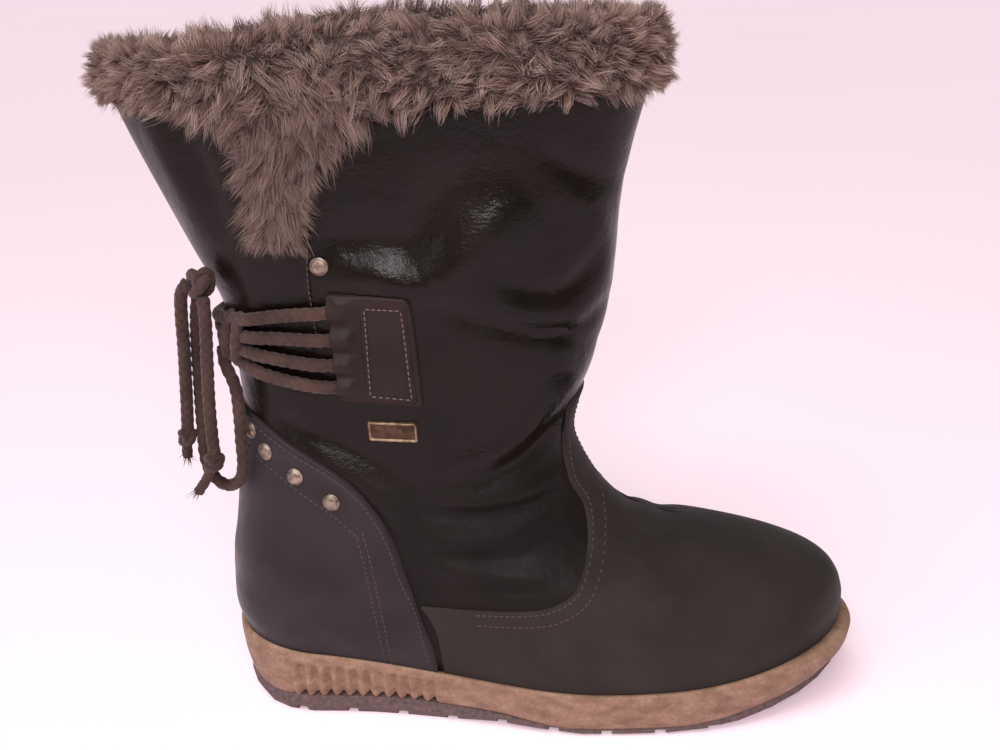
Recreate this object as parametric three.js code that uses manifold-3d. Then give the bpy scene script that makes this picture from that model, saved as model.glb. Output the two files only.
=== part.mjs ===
// A mid-calf winter boot for the right foot: nubuck vamp and leather shaft, a fur collar with a
// tail down the outer side, decorative lacing round the back, and a gum sole on a dark tread.
// Millimetres. +X points to the toe, +Z up, and -Y is the outer (lateral) side.
// The origin is on the floor under the middle of the heel.
import * as THREE from "three";
import { mergeVertices } from "three/addons/utils/BufferGeometryUtils.js";
import Module from "manifold-3d";

const wasm = await Module();
wasm.setup();

// ---- Driving dimensions ------------------------------------------------------------------
const WALL = 3; // leather, warm lining and the pile that is pressed flat inside
const GAP = 0.3; // between pieces that touch
const RIM_DEPTH = 4; // how far the upper sits down inside the gum rim
const RIM_GAP = 0.6; // from the upper to the inside of the rim
const INSOLE_THICK = 4.5;
const AROUND = 44; // steps round the upper

// Sections of the upper, from inside the gum rim to the collar. Each one is a closed outline
// that runs from a point on the heel seam (backX, backZ) to a point on the front ridge
// (frontX, frontZ), so the low ones lie flat and the middle ones fan up over the instep.
// heel is the half-width behind, outer and inner are the half-widths ahead on each side,
// heelRun and foreRun are the lengths that round off its two ends, sag is how far its
// middle dips, and toeIn moves the front end to the inner side.
const SECTION_COLUMNS = [
  "backX", "backZ", "frontX", "frontZ", "heel", "outer", "inner", "heelRun", "foreRun", "sag", "toeIn",
];
const SECTIONS = [
  [-39, 35, 241, 31, 33, 48, 46, 38, 76, 14, 8],
  [-39, 40, 241, 36, 33, 48, 46, 38, 76, 14, 8],
  [-41, 49, 242, 48, 35, 48, 47, 38, 74, 12, 8],
  [-41, 57, 237, 59, 36, 47, 46, 38, 68, 10, 8],
  [-40.5, 64, 223, 67, 36, 46, 44, 38, 68, 7, 7],
  [-40, 71, 201, 73, 36, 44, 43, 38, 72, 4, 6],
  [-39, 79, 174, 78, 36, 42, 41, 38, 82, 2, 5],
  [-37, 88, 149, 86, 36, 41, 40, 39, 88, 0, 4],
  [-35, 100, 132, 101, 35.5, 40, 39, 40, 84, 0, 3],
  [-33, 115, 121, 119, 35, 39, 38, 42, 72, 0, 2],
  [-31, 131, 117, 134, 35, 39, 38, 44, 64, 0, 1],
  [-30, 150, 122, 153, 36, 39, 39, 48, 62, 0, 0],
  [-31, 172, 129, 173, 37, 40, 40, 54, 64, 0, 0],
  [-34, 195, 134, 193, 38, 40, 40, 60, 66, 0, 0],
  [-45, 220, 136, 215, 39, 41, 41, 66, 70, 0, 0],
  [-55, 243, 139, 238, 40, 41, 41, 72, 74, 0, 0],
  [-64, 264, 144, 261, 40, 41, 41, 76, 78, 0, 0],
  [-72, 285, 151, 285, 40, 41, 41, 78, 80, 0, 0],
];
const LAST = SECTIONS.length - 1;

// ---- The upper's surface -----------------------------------------------------------------
const mix = (a, b, t) => a + (b - a) * t;
const clamp = (x, lo, hi) => Math.min(hi, Math.max(lo, x));
const ease = (t) => t * t * (3 - 2 * t);

// The section at height v (0 at the sole, 1 at the collar), smooth between the table's rows.
function section(v) {
  const at = clamp(v, 0, 1) * LAST;
  const i = Math.min(Math.floor(at), LAST - 1);
  const t = at - i;
  const rows = [i - 1, i, i + 1, i + 2].map((k) => SECTIONS[clamp(k, 0, LAST)]);
  const out = {};
  SECTION_COLUMNS.forEach((name, c) => {
    const [p0, p1, p2, p3] = rows.map((row) => row[c]);
    const bend = 2 * p0 - 5 * p1 + 4 * p2 - p3;
    const twist = 3 * p1 - p0 - 3 * p2 + p3;
    out[name] = p1 + 0.5 * t * (p2 - p0 + t * (bend + t * twist));
  });
  return out;
}

// Where the section's middle line is, a fraction s of the way from heel to front.
const SAG_AT = 0.62;
function middle(row, s) {
  const quarter = Math.PI / 2;
  const dip = s < SAG_AT
    ? Math.sin((quarter * s) / SAG_AT)
    : Math.cos((quarter * (s - SAG_AT)) / (1 - SAG_AT));
  const x = mix(row.backX, row.frontX, s);
  const z = mix(row.backZ, row.frontZ, s) - row.sag * dip;
  return [x, z];
}

// The half-width there. The waist is where the foot narrows under the arch.
const WAIST = { at: 0.36, reach: 0.2, outer: 2.5, inner: 5 };
function halfWidth(row, s, inner) {
  const length = Math.hypot(row.frontX - row.backX, row.frontZ - row.backZ);
  const back = clamp((s * length) / row.heelRun, 0, 1);
  const front = clamp(((1 - s) * length) / row.foreRun, 0, 1);
  const ends = Math.sqrt(1 - (1 - back) ** 2) * Math.sqrt(1 - (1 - front) ** 2);
  const ahead = inner ? row.inner : row.outer;
  const body = mix(row.heel, ahead, ease(clamp((s - 0.15) / 0.45, 0, 1)));
  const arch = Math.exp(-(((s - WAIST.at) / WAIST.reach) ** 2)) * clamp(row.sag / 10, 0, 1);
  return ends * (body - arch * (inner ? WAIST.inner : WAIST.outer));
}

// A point of the upper. turn is 0 at the heel seam, half a turn (PI) at the front ridge, and
// the outer side comes first.
function skin(turn, v) {
  const row = section(v);
  const s = (1 - Math.cos(turn)) / 2;
  const inner = Math.sin(turn) < 0;
  const [x, z] = middle(row, s);
  const side = inner ? 1 : -1;
  const y = row.toeIn * ease(clamp((s - 0.5) / 0.5, 0, 1)) + side * halfWidth(row, s, inner);
  return new THREE.Vector3(x, y, z);
}

function normal(turn, v) {
  const step = 0.004;
  const along = skin(turn + step, v).sub(skin(turn - step, v));
  const up = skin(turn, Math.min(1, v + step)).sub(skin(turn, Math.max(0, v - step)));
  return along.cross(up).normalize();
}

// The skin moved out (or in, where it is negative) along its own normal.
function moved(turn, v, out) {
  return skin(turn, v).addScaledVector(normal(turn, v), out);
}

// The turn and height of the point of one side that shows at (x, z) in the side view.
function find(x, z, inner = false) {
  let s = 0.5;
  let v = 0.5;
  const step = 1e-4;
  for (let i = 0; i < 60; i += 1) {
    const [px, pz] = middle(section(v), s);
    const [sx, sz] = middle(section(v), s + step);
    const [vx, vz] = middle(section(v + step), s);
    const [a, b, c, d] = [(sx - px) / step, (vx - px) / step, (sz - pz) / step, (vz - pz) / step];
    const det = a * d - b * c;
    s = clamp(s + clamp((d * (x - px) - b * (z - pz)) / det, -0.1, 0.1), 0.001, 0.999);
    v = clamp(v + clamp((a * (z - pz) - c * (x - px)) / det, -0.05, 0.05), 0.001, 0.998);
  }
  const turn = Math.acos(1 - 2 * s);
  return [inner ? 2 * Math.PI - turn : turn, v];
}

const turns = Array.from({ length: AROUND }, (_, i) => (2 * Math.PI * i) / AROUND);
// A ring at each row of the table, one just above the gum rim, and more over the toes.
const ABOVE_RIM = 1.2;
const OVER_TOES = [2.5, 3.5, 4.5, 5.5];
const ringRows = [...SECTIONS.keys(), ABOVE_RIM, ...OVER_TOES].sort((a, b) => a - b);
const heights = ringRows.map((row) => row / LAST);

// ---- Solids ------------------------------------------------------------------------------
function geometry(points, faces) {
  const out = new THREE.BufferGeometry();
  out.setAttribute("position", new THREE.Float32BufferAttribute(points.flatMap((p) => p.toArray()), 3));
  out.setIndex(faces.flat());
  return out;
}

// Closed rings of equal length joined into one surface; the first ring joins the last. From
// ring back on, the rings come down again, and the quads are split the other way, so that
// both sides of a wall have matching facets.
function closedRings(rings, back = rings.length) {
  const count = rings[0].length;
  const faces = [];
  rings.forEach((ring, r) => {
    const next = (r + 1) % rings.length;
    for (let i = 0; i < count; i += 1) {
      const j = (i + 1) % count;
      const [a, b, c, d] = [r * count + i, r * count + j, next * count + j, next * count + i];
      if (r < back) faces.push([a, b, c], [a, c, d]);
      else faces.push([a, b, d], [b, c, d]);
    }
  });
  return geometry(rings.flat(), faces);
}

// A wall that follows the skin at the given heights, from offset low to offset high.
function wall(levels, low, high) {
  const ring = (v, out) => turns.map((turn) => moved(turn, v, out));
  const outside = levels.map((v) => ring(v, high));
  const inside = levels.map((v) => ring(v, low)).reverse();
  return closedRings([...outside, ...inside], levels.length);
}

// Rings stacked upwards and closed at both ends by strips between the outer and inner sides.
function stackedRings(rings) {
  const count = rings[0].length;
  const faces = [];
  for (let r = 0; r + 1 < rings.length; r += 1) {
    for (let i = 0; i < count; i += 1) {
      const j = (i + 1) % count;
      const [a, b] = [r * count + i, r * count + j];
      const [c, d] = [b + count, a + count];
      faces.push([a, b, c], [a, c, d]);
    }
  }
  const cap = (start, flip) => {
    for (let i = 0; i < count / 2; i += 1) {
      const [a, b] = [i, i + 1];
      const [c, d] = [(count - i - 1) % count, (count - i) % count];
      [[a, c, b], [a, d, c]].forEach((face) => {
        if (new Set(face).size < 3) return;
        const corners = face.map((k) => start + k);
        faces.push(flip ? corners.reverse() : corners);
      });
    }
  };
  cap(0, false);
  cap((rings.length - 1) * count, true);
  return geometry(rings.flat(), faces);
}

function toManifold(shape) {
  const bare = shape.clone();
  bare.deleteAttribute("normal");
  bare.deleteAttribute("uv");
  const merged = mergeVertices(bare, 1e-4);
  return new wasm.Manifold(new wasm.Mesh({
    numProp: 3,
    vertProperties: new Float32Array(merged.attributes.position.array),
    triVerts: new Uint32Array(merged.index.array),
  }));
}

function fromManifold(solid) {
  const mesh = solid.getMesh();
  const out = new THREE.BufferGeometry();
  out.setAttribute("position", new THREE.Float32BufferAttribute(mesh.vertProperties, 3));
  out.setIndex(Array.from(mesh.triVerts));
  return out;
}

// An overlay that follows the skin, from offset low to offset high. outline is its edge in
// the side view, and side is -1 for the outer side, 1 for the inner side and 0 for both.
const REACH_Y = 90;
function overlay(low, high, edge, side) {
  const levels = ringRows.filter((row) => row >= ABOVE_RIM).map((row) => row / LAST);
  const cutter = new THREE.ExtrudeGeometry(
    new THREE.Shape(edge.map(([x, z]) => new THREE.Vector2(x, z))),
    { depth: side === 0 ? 2 * REACH_Y : REACH_Y, bevelEnabled: false },
  );
  cutter.rotateX(Math.PI / 2);
  cutter.translate(0, side < 0 ? 0 : REACH_Y, 0);
  return toManifold(wall(levels, low, high)).intersect(toManifold(cutter));
}

// ---- Materials ---------------------------------------------------------------------------
const material = (color, roughness, metalness = 0) =>
  new THREE.MeshStandardMaterial({ color, roughness, metalness });
const LEATHER = material(0x2c2520, 0.45);
const NUBUCK_GREY = material(0x463f41, 0.6);
const GUM = material(0x96725e, 0.6);
const TREAD = material(0x5a4c48, 0.8);
const LINING = material(0x6b5a50, 0.95);
const FUR = material(0x66544b, 1);
const CORD = material(0x4c3a32, 0.9);
const BRASS = material(0x8f7550, 0.35, 1);

const boot = new THREE.Group();
function add(name, shape, look) {
  const mesh = new THREE.Mesh(shape, look);
  mesh.name = name;
  boot.add(mesh);
  return mesh;
}

// ---- Upper -------------------------------------------------------------------------------
add("upper", wall(heights, -WALL, 0), LEATHER);

// ---- Sole --------------------------------------------------------------------------------
const HEEL_FLAT = { from: -20, to: 52 };
const FORE_FLAT = { from: 118, to: 160 };
const ARCH_RISE = 2;
const TOE_TIP = 250;
const TOE_SPRING = 19;
const HEEL_TIP = -40;
const HEEL_BEVEL = 6;
const TREAD_THICK = { heel: 10, fore: 3.5, toe: 6 };
const TOE_BUMPER = { from: 190, to: 240, out: 4 }; // the gum rolls forward over the toes

// Height of the tread's underside at x: two flat spots, a slight arch and a sprung toe.
function underside(x) {
  if (x < HEEL_FLAT.from) {
    return HEEL_BEVEL * ((HEEL_FLAT.from - x) / (HEEL_FLAT.from - HEEL_TIP)) ** 2;
  }
  if (x > FORE_FLAT.to) {
    return TOE_SPRING * ((x - FORE_FLAT.to) / (TOE_TIP - FORE_FLAT.to)) ** 2;
  }
  const t = clamp((x - HEEL_FLAT.to) / (FORE_FLAT.from - HEEL_FLAT.to), 0, 1);
  return ARCH_RISE * Math.sin(Math.PI * t) ** 2;
}

// The tread thins out from its heel value over one stretch and thickens over the other.
const THINS = { from: 40, over: 75 };
const THICKENS = { from: 150, over: 60 };
const along = (x, { from, over }) => ease(clamp((x - from) / over, 0, 1));
function treadTop(x) {
  const { heel, fore, toe } = TREAD_THICK;
  return underside(x) + mix(mix(heel, fore, along(x, THINS)), toe, along(x, THICKENS));
}

// The sole's outline: the upper's lowest section, moved out sideways. height says how high
// the ring is, from the x of each of its points and the height of the upper's edge there.
// bumper (0 to 1) is its share of the toe bumper.
function outline(out, height, bumper = 0) {
  const row = section(0);
  return turns.map((turn) => {
    const side = normal(turn, 0).setZ(0).normalize();
    const edge = skin(turn, 0);
    const roll = ease(clamp((edge.x - TOE_BUMPER.from) / (TOE_BUMPER.to - TOE_BUMPER.from), 0, 1));
    const point = edge.addScaledVector(side, out + bumper * roll * TOE_BUMPER.out);
    return point.setZ(height(point.x, middle(row, (1 - Math.cos(turn)) / 2)[1]));
  });
}

// The gum wall's rings, from the tread (level 0) to the top of the rim (level 1).
const WALL_LEVELS = [
  { level: 0, out: 0.5, bumper: 0.3 },
  { level: 0.35, out: 2.8, bumper: 1 },
  { level: 0.75, out: 3.6, bumper: 1 },
  { level: 1, out: 3.2, bumper: 0.6 },
];
function makeMidsole() {
  const wall = WALL_LEVELS.map(({ level, out, bumper }) =>
    outline(out, (x, base) => mix(treadTop(x) + GAP, base + RIM_DEPTH, level), bumper));
  const rimInside = outline(RIM_GAP, (x, base) => base + RIM_DEPTH);
  const bed = outline(RIM_GAP, (x, base) => base - GAP);
  return stackedRings([...wall, rimInside, bed]);
}
add("midsole", makeMidsole(), GUM);

const GROOVE = { width: 5, depth: 3, pitch: 24, first: -15, count: 11, chevron: 9, reach: 70 };
const CUT_BELOW = 20; // how far the cutter runs on below the tread
// One chevron groove across the tread, a bent bar as deep as the groove is.
function makeGroove(x) {
  const { width, chevron, reach, depth } = GROOVE;
  const shape = new THREE.Shape();
  shape.moveTo(x - width / 2, -reach);
  shape.lineTo(x + width / 2, -reach);
  shape.lineTo(x + width / 2 + chevron, 0);
  shape.lineTo(x + width / 2, reach);
  shape.lineTo(x - width / 2, reach);
  shape.lineTo(x - width / 2 + chevron, 0);
  shape.closePath();
  const bar = new THREE.ExtrudeGeometry(shape, { depth: depth + CUT_BELOW, bevelEnabled: false });
  bar.translate(0, 0, underside(x) - CUT_BELOW);
  return toManifold(bar);
}
// The tread's rings, from its underside (level 0) to the gum (level 1).
const TREAD_LEVELS = [
  { level: 0, out: -1.5, bumper: 0 },
  { level: 0.45, out: 1, bumper: 0.3 },
  { level: 1, out: 0.5, bumper: 0.3 },
];
function makeOutsole() {
  const rings = TREAD_LEVELS.map(({ level, out, bumper }) =>
    outline(out, (x) => mix(underside(x), treadTop(x), level), bumper));
  let solid = toManifold(stackedRings(rings));
  for (let i = 0; i < GROOVE.count; i += 1) {
    solid = solid.subtract(makeGroove(GROOVE.first + GROOVE.pitch * i));
  }
  return fromManifold(solid);
}
add("outsole", makeOutsole(), TREAD);

const INSOLE_GAP = 0.6; // from the insole to the upper's inside
function makeInsole() {
  const inset = -(WALL + INSOLE_GAP);
  const low = outline(inset, (x, base) => base);
  const high = outline(inset, (x, base) => base + INSOLE_THICK);
  return stackedRings([low, high]);
}
add("insole", makeInsole(), LINING);

// ---- Heel counter ------------------------------------------------------------------------
const COUNTER_THICK = 1.6;
// Its edge in the side view, the same on both sides.
const COUNTER_EDGE = [
  [-60, 20], [56, 20], [51, 51], [45, 76], [35, 106], [24, 122], [11, 132], [-3, 139.5], [-19, 147],
  [-60, 154],
];
const counter = overlay(GAP, GAP + COUNTER_THICK, COUNTER_EDGE, 0);
add("heel_counter", fromManifold(counter), NUBUCK_GREY);

// ---- Side pieces -------------------------------------------------------------------------
const TAB = [[25, 160], [57, 157], [54, 206], [23, 208]];
const TAB_THICK = 2.6;
const tab = (side) => fromManifold(overlay(GAP, GAP + TAB_THICK, TAB, side));
add("lace_tab_outer", tab(-1), LEATHER);
add("lace_tab_inner", tab(1), LEATHER);

const PLATE = [[32.5, 142], [53.5, 141.5], [53, 150.5], [32, 151]];
const PLATE_THICK = 1.2;
add("side_plate", fromManifold(overlay(GAP, GAP + PLATE_THICK, PLATE, -1)), BRASS);

// ---- Studs -------------------------------------------------------------------------------
const STUD = { radius: 3.8, height: 1.8, sides: 12 };
// A domed stud standing on the surface that lies under above the skin.
function makeStud(x, z, inner, under) {
  const { radius, height, sides } = STUD;
  const profile = [
    [0, 0], [radius, 0], [radius, height * 0.35], [radius * 0.7, height * 0.85], [0, height],
  ];
  const stud = new THREE.LatheGeometry(profile.map(([r, h]) => new THREE.Vector2(r, h)), sides);
  const [turn, v] = find(x, z, inner);
  const facing = normal(turn, v);
  stud.applyQuaternion(new THREE.Quaternion().setFromUnitVectors(new THREE.Vector3(0, 1, 0), facing));
  const foot = moved(turn, v, under + GAP);
  stud.translate(foot.x, foot.y, foot.z);
  return fromManifold(toManifold(stud));
}
const COUNTER_STUDS = [
  { x: 14, z: 113 },
  { x: -1, z: 124 },
  { x: -14, z: 133 },
  { x: -21, z: 140.5 },
];
COUNTER_STUDS.forEach(({ x, z }, i) => {
  add(`stud_outer_${i + 1}`, makeStud(x, z, false, GAP + COUNTER_THICK), BRASS);
  add(`stud_inner_${i + 1}`, makeStud(x, z, true, GAP + COUNTER_THICK), BRASS);
});
const SHAFT_STUD = { x: 18, z: 219 };
add("stud_shaft", makeStud(SHAFT_STUD.x, SHAFT_STUD.z, false, 0), BRASS);

// ---- Fur collar --------------------------------------------------------------------------
// Its section, as distances outwards from the leather and upwards from the leather's top edge.
// At the back it stands out less and is lower, by the two shares below.
const FUR_FOOT = 0.8; // from the leather to the underside of the pile
const COLLAR_SECTION = [
  [FUR_FOOT, -1], [4, -2], [7, 8], [6.5, 18], [2, 27], [-4, 25], [-8, 13], [-7, 1.6], [FUR_FOOT, 1.6],
];
const BACK_SHARE = { out: 0.4, up: 0.66 };
const GROWS = { from: 0.15, over: 0.3 }; // the stretch, from back to front, over which it grows
const FUR_DEPTH = 7;
// The tail's outline in the side view, with the longer pile beside it.
const TAIL = [
  [-4, 230], [10, 230], [14, 248], [21, 264], [34, 275], [54, 284], [-48, 284], [-22, 277], [-9, 273],
  [-7, 256],
];
function makeCollar() {
  const rings = COLLAR_SECTION.map(([out, up]) => turns.map((turn) => {
    const side = normal(turn, 1).setZ(0).normalize();
    const ahead = along((1 - Math.cos(turn)) / 2, GROWS);
    const stand = out > FUR_FOOT ? out * mix(BACK_SHARE.out, 1, ahead) : out;
    const rise = up > 2 ? up * mix(BACK_SHARE.up, 1, ahead) : up;
    return skin(turn, 1).addScaledVector(side, stand).add(new THREE.Vector3(0, 0, rise));
  }));
  const tail = overlay(FUR_FOOT, FUR_DEPTH, TAIL, -1);
  return fromManifold(toManifold(closedRings(rings)).add(tail));
}
add("fur_collar", makeCollar(), FUR);

// ---- Lace --------------------------------------------------------------------------------
const LACE = 5.2; // the cord's diameter
const LACE_SIDES = 8;
function tube(points, steps, radius = LACE / 2) {
  const path = new THREE.CatmullRomCurve3(points, false, "centripetal");
  const circle = new THREE.Shape();
  for (let i = 0; i < LACE_SIDES; i += 1) {
    const angle = (2 * Math.PI * i) / LACE_SIDES;
    const corner = [radius * Math.cos(angle), radius * Math.sin(angle)];
    if (i === 0) circle.moveTo(...corner); else circle.lineTo(...corner);
  }
  circle.closePath();
  return new THREE.ExtrudeGeometry(circle, { steps, extrudePath: path, bevelEnabled: false });
}

// The height v at which the skin is z high at that turn.
function levelAt(turn, z) {
  let [lo, hi] = [0, 1];
  for (let i = 0; i < 30; i += 1) {
    const v = (lo + hi) / 2;
    if (skin(turn, v).z < z) lo = v; else hi = v;
  }
  return lo;
}

// Four bars run from one tab round the back to the other. They lie apart at the tabs and
// bunch together at the back.
const BARS = [
  { atTab: 200, back: 189 },
  { atTab: 188, back: 185 },
  { atTab: 177, back: 181 },
  { atTab: 167, back: 177 },
];
const BAR_STEPS = 18;
const BAR_CLEAR = 1.3; // from the leather to a bar
const TAB_CLEAR = 0.6; // from a bar's end to the tab
function makeBars() {
  const [rearLow, , , rearTop] = TAB;
  let bars = null;
  BARS.forEach(({ atTab, back }) => {
    const rearX = mix(rearLow[0], rearTop[0], (atTab - rearLow[1]) / (rearTop[1] - rearLow[1]));
    const [reach] = find(rearX - TAB_CLEAR, atTab);
    const points = Array.from({ length: BAR_STEPS + 1 }, (_, i) => {
      const t = mix(1, -1, i / BAR_STEPS);
      const z = mix(back, atTab, ease(Math.abs(t)));
      const turn = t * reach;
      return moved(turn, levelAt(turn, z), LACE / 2 + BAR_CLEAR);
    });
    const bar = toManifold(tube(points, BAR_STEPS));
    bars = bars ? bars.add(bar) : bar;
  });
  return fromManifold(bars);
}
add("lace_bars", makeBars(), CORD);

// ---- Hanging lace ------------------------------------------------------------------------
// The lace is tied behind the outer quarter. A loop and two ends hang from the knot, each
// end with a small knot and a short tip below it.
const at = ([x, y, z]) => new THREE.Vector3(x, y, z);
const BALL = { around: 12, up: 8 };
function lump([x, y, z], [wide, deep, high], grow = 0) {
  const ball = new THREE.SphereGeometry(1, BALL.around, BALL.up);
  ball.scale(wide + grow, deep + grow, high + grow);
  ball.translate(x, y, z);
  return toManifold(ball);
}
const KNOT = { centre: [-36, -26, 208.5], size: [6.5, 6.5, 6.2] };
add("lace_knot", fromManifold(lump(KNOT.centre, KNOT.size)), CORD);
const clearOfKnot = (solid) => solid.subtract(lump(KNOT.centre, KNOT.size, GAP));

const LOOP = [
  [-31, -21, 171], [-27, -23.5, 161], [-26, -25.5, 148], [-26, -27, 136], [-26.4, -27, 125],
  [-29.2, -25.8, 117.6], [-36, -23, 114], [-42.6, -20.4, 117.6], [-45.4, -19, 125],
  [-45.5, -18, 140], [-44.5, -18, 160], [-43, -19, 180], [-41, -20.5, 194], [-38, -24, 203],
];
const LOOP_STEPS = 26;
add("lace_loop", fromManifold(clearOfKnot(toManifold(tube(LOOP.map(at), LOOP_STEPS)))), CORD);

// Each end: the free run, then the small knot on it, then the tip.
const ENDS = {
  lace_end_a: {
    run: [
      [-41, -27, 209], [-44.5, -26, 204], [-46, -25, 195], [-47, -24, 182], [-48.5, -23, 165],
      [-50, -22, 150], [-51, -22, 140],
    ],
    knot: { centre: [-51.5, -22, 137], size: [4.6, 4.4, 4.6] },
    tip: [[-51.5, -22, 137], [-52.2, -22, 132], [-52.5, -22, 127.5]],
  },
  lace_end_b: {
    run: [
      [-34.5, -29, 203], [-34.5, -30, 192], [-36, -29.5, 175], [-37.5, -29, 156], [-38, -29, 140],
      [-38, -29, 131],
    ],
    knot: { centre: [-38.5, -29, 128], size: [5, 4.6, 5] },
    tip: [[-38.5, -29, 128], [-43, -28, 119.5], [-48, -27, 112.5]],
  },
};
const END_STEPS = 16;
const TIP_STEPS = 5;
Object.entries(ENDS).forEach(([name, { run, knot, tip }]) => {
  const cord = clearOfKnot(toManifold(tube(run.map(at), END_STEPS)));
  add(name, fromManifold(cord.subtract(lump(knot.centre, knot.size, GAP))), CORD);
  const tail = toManifold(tube(tip.map(at), TIP_STEPS));
  add(`${name}_knot`, fromManifold(lump(knot.centre, knot.size).add(tail)), CORD);
});

export default boot;
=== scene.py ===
import math

import bpy
import numpy as np
from mathutils import Matrix, Vector
from mathutils.kdtree import KDTree


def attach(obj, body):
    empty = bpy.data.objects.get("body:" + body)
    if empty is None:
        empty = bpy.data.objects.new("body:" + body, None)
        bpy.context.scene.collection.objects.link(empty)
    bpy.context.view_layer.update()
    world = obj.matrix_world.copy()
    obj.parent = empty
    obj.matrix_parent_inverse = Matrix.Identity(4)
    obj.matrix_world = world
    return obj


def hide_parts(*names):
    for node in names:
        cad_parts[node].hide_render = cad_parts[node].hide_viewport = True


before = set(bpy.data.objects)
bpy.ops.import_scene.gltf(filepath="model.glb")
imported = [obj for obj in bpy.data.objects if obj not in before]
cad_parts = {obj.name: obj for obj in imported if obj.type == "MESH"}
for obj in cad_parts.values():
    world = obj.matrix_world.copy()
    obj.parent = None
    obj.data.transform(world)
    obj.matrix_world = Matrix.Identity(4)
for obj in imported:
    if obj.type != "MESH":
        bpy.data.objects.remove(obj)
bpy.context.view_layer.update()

MM = 0.001
rng = np.random.default_rng(11)

# ---- Camera ----
CAMERA = {"at": (0.1209, -0.4975, 0.3445), "yaw": 4.04, "pitch": 20.63, "roll": -1.82, "lens": 43.2}


def add_camera():
    yaw, pitch, roll = (math.radians(CAMERA[name]) for name in ("yaw", "pitch", "roll"))
    data = bpy.data.cameras.new("camera")
    data.lens = CAMERA["lens"]
    data.sensor_width = 36
    data.clip_end = 100
    camera = bpy.data.objects.new("camera", data)
    bpy.context.collection.objects.link(camera)
    turned = Matrix.Rotation(yaw, 4, "Z") @ Matrix.Rotation(math.pi / 2 - pitch, 4, "X")
    turned = turned @ Matrix.Rotation(roll, 4, "Z")
    camera.matrix_world = Matrix.Translation(CAMERA["at"]) @ turned
    bpy.context.scene.camera = camera


add_camera()

# ---- The upper's surface, as in the CAD source ----
SECTION_COLUMNS = (
    "backX", "backZ", "frontX", "frontZ", "heel", "outer", "inner", "heelRun", "foreRun", "sag", "toeIn",
)
SECTIONS = np.array([
    [-39, 35, 241, 31, 33, 48, 46, 38, 76, 14, 8],
    [-39, 40, 241, 36, 33, 48, 46, 38, 76, 14, 8],
    [-41, 49, 242, 48, 35, 48, 47, 38, 74, 12, 8],
    [-41, 57, 237, 59, 36, 47, 46, 38, 68, 10, 8],
    [-40.5, 64, 223, 67, 36, 46, 44, 38, 68, 7, 7],
    [-40, 71, 201, 73, 36, 44, 43, 38, 72, 4, 6],
    [-39, 79, 174, 78, 36, 42, 41, 38, 82, 2, 5],
    [-37, 88, 149, 86, 36, 41, 40, 39, 88, 0, 4],
    [-35, 100, 132, 101, 35.5, 40, 39, 40, 84, 0, 3],
    [-33, 115, 121, 119, 35, 39, 38, 42, 72, 0, 2],
    [-31, 131, 117, 134, 35, 39, 38, 44, 64, 0, 1],
    [-30, 150, 122, 153, 36, 39, 39, 48, 62, 0, 0],
    [-31, 172, 129, 173, 37, 40, 40, 54, 64, 0, 0],
    [-34, 195, 134, 193, 38, 40, 40, 60, 66, 0, 0],
    [-45, 220, 136, 215, 39, 41, 41, 66, 70, 0, 0],
    [-55, 243, 139, 238, 40, 41, 41, 72, 74, 0, 0],
    [-64, 264, 144, 261, 40, 41, 41, 76, 78, 0, 0],
    [-72, 285, 151, 285, 40, 41, 41, 78, 80, 0, 0],
])
LAST = len(SECTIONS) - 1
WALL = 3
GAP = 0.3


def mix(a, b, t):
    return a + (b - a) * t


def ease(t):
    t = np.clip(t, 0, 1)
    return t * t * (3 - 2 * t)


def section(v):
    """The table's columns at height v (0 at the sole, 1 at the collar)."""
    at = np.clip(v, 0, 1) * LAST
    i = np.minimum(np.floor(at), LAST - 1).astype(int)
    t = (at - i)[..., None]
    p0, p1, p2, p3 = (SECTIONS[np.clip(i + k, 0, LAST)] for k in (-1, 0, 1, 2))
    bend = 2 * p0 - 5 * p1 + 4 * p2 - p3
    twist = 3 * p1 - p0 - 3 * p2 + p3
    rows = p1 + 0.5 * t * (p2 - p0 + t * (bend + t * twist))
    return {name: rows[..., c] for c, name in enumerate(SECTION_COLUMNS)}


SAG_AT = 0.62


def middle(row, s):
    quarter = math.pi / 2
    dip = np.where(
        s < SAG_AT,
        np.sin(quarter * s / SAG_AT),
        np.cos(quarter * (s - SAG_AT) / (1 - SAG_AT)),
    )
    x = mix(row["backX"], row["frontX"], s)
    z = mix(row["backZ"], row["frontZ"], s) - row["sag"] * dip
    return x, z


WAIST = {"at": 0.36, "reach": 0.2, "outer": 2.5, "inner": 5}
WIDENS = {"from": 0.15, "over": 0.45}  # from the heel's width to the side's


def half_width(row, s, inner):
    length = np.hypot(row["frontX"] - row["backX"], row["frontZ"] - row["backZ"])
    back = np.clip(s * length / row["heelRun"], 0, 1)
    front = np.clip((1 - s) * length / row["foreRun"], 0, 1)
    ends = np.sqrt(1 - (1 - back) ** 2) * np.sqrt(1 - (1 - front) ** 2)
    widens = ease((s - WIDENS["from"]) / WIDENS["over"])
    body = mix(row["heel"], np.where(inner, row["inner"], row["outer"]), widens)
    arch = np.exp(-(((s - WAIST["at"]) / WAIST["reach"]) ** 2)) * np.clip(row["sag"] / 10, 0, 1)
    return ends * (body - arch * np.where(inner, WAIST["inner"], WAIST["outer"]))


def skin(turn, v):
    """Points of the upper; turn is 0 at the heel seam and pi at the front, outer side first."""
    turn, v = np.broadcast_arrays(np.asarray(turn, float), np.asarray(v, float))
    row = section(v)
    s = (1 - np.cos(turn)) / 2
    inner = np.sin(turn) < 0
    x, z = middle(row, s)
    side = np.where(inner, 1, -1)
    y = row["toeIn"] * ease((s - 0.5) / 0.5) + side * half_width(row, s, inner)
    return np.stack([x, y, z], -1)


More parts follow.
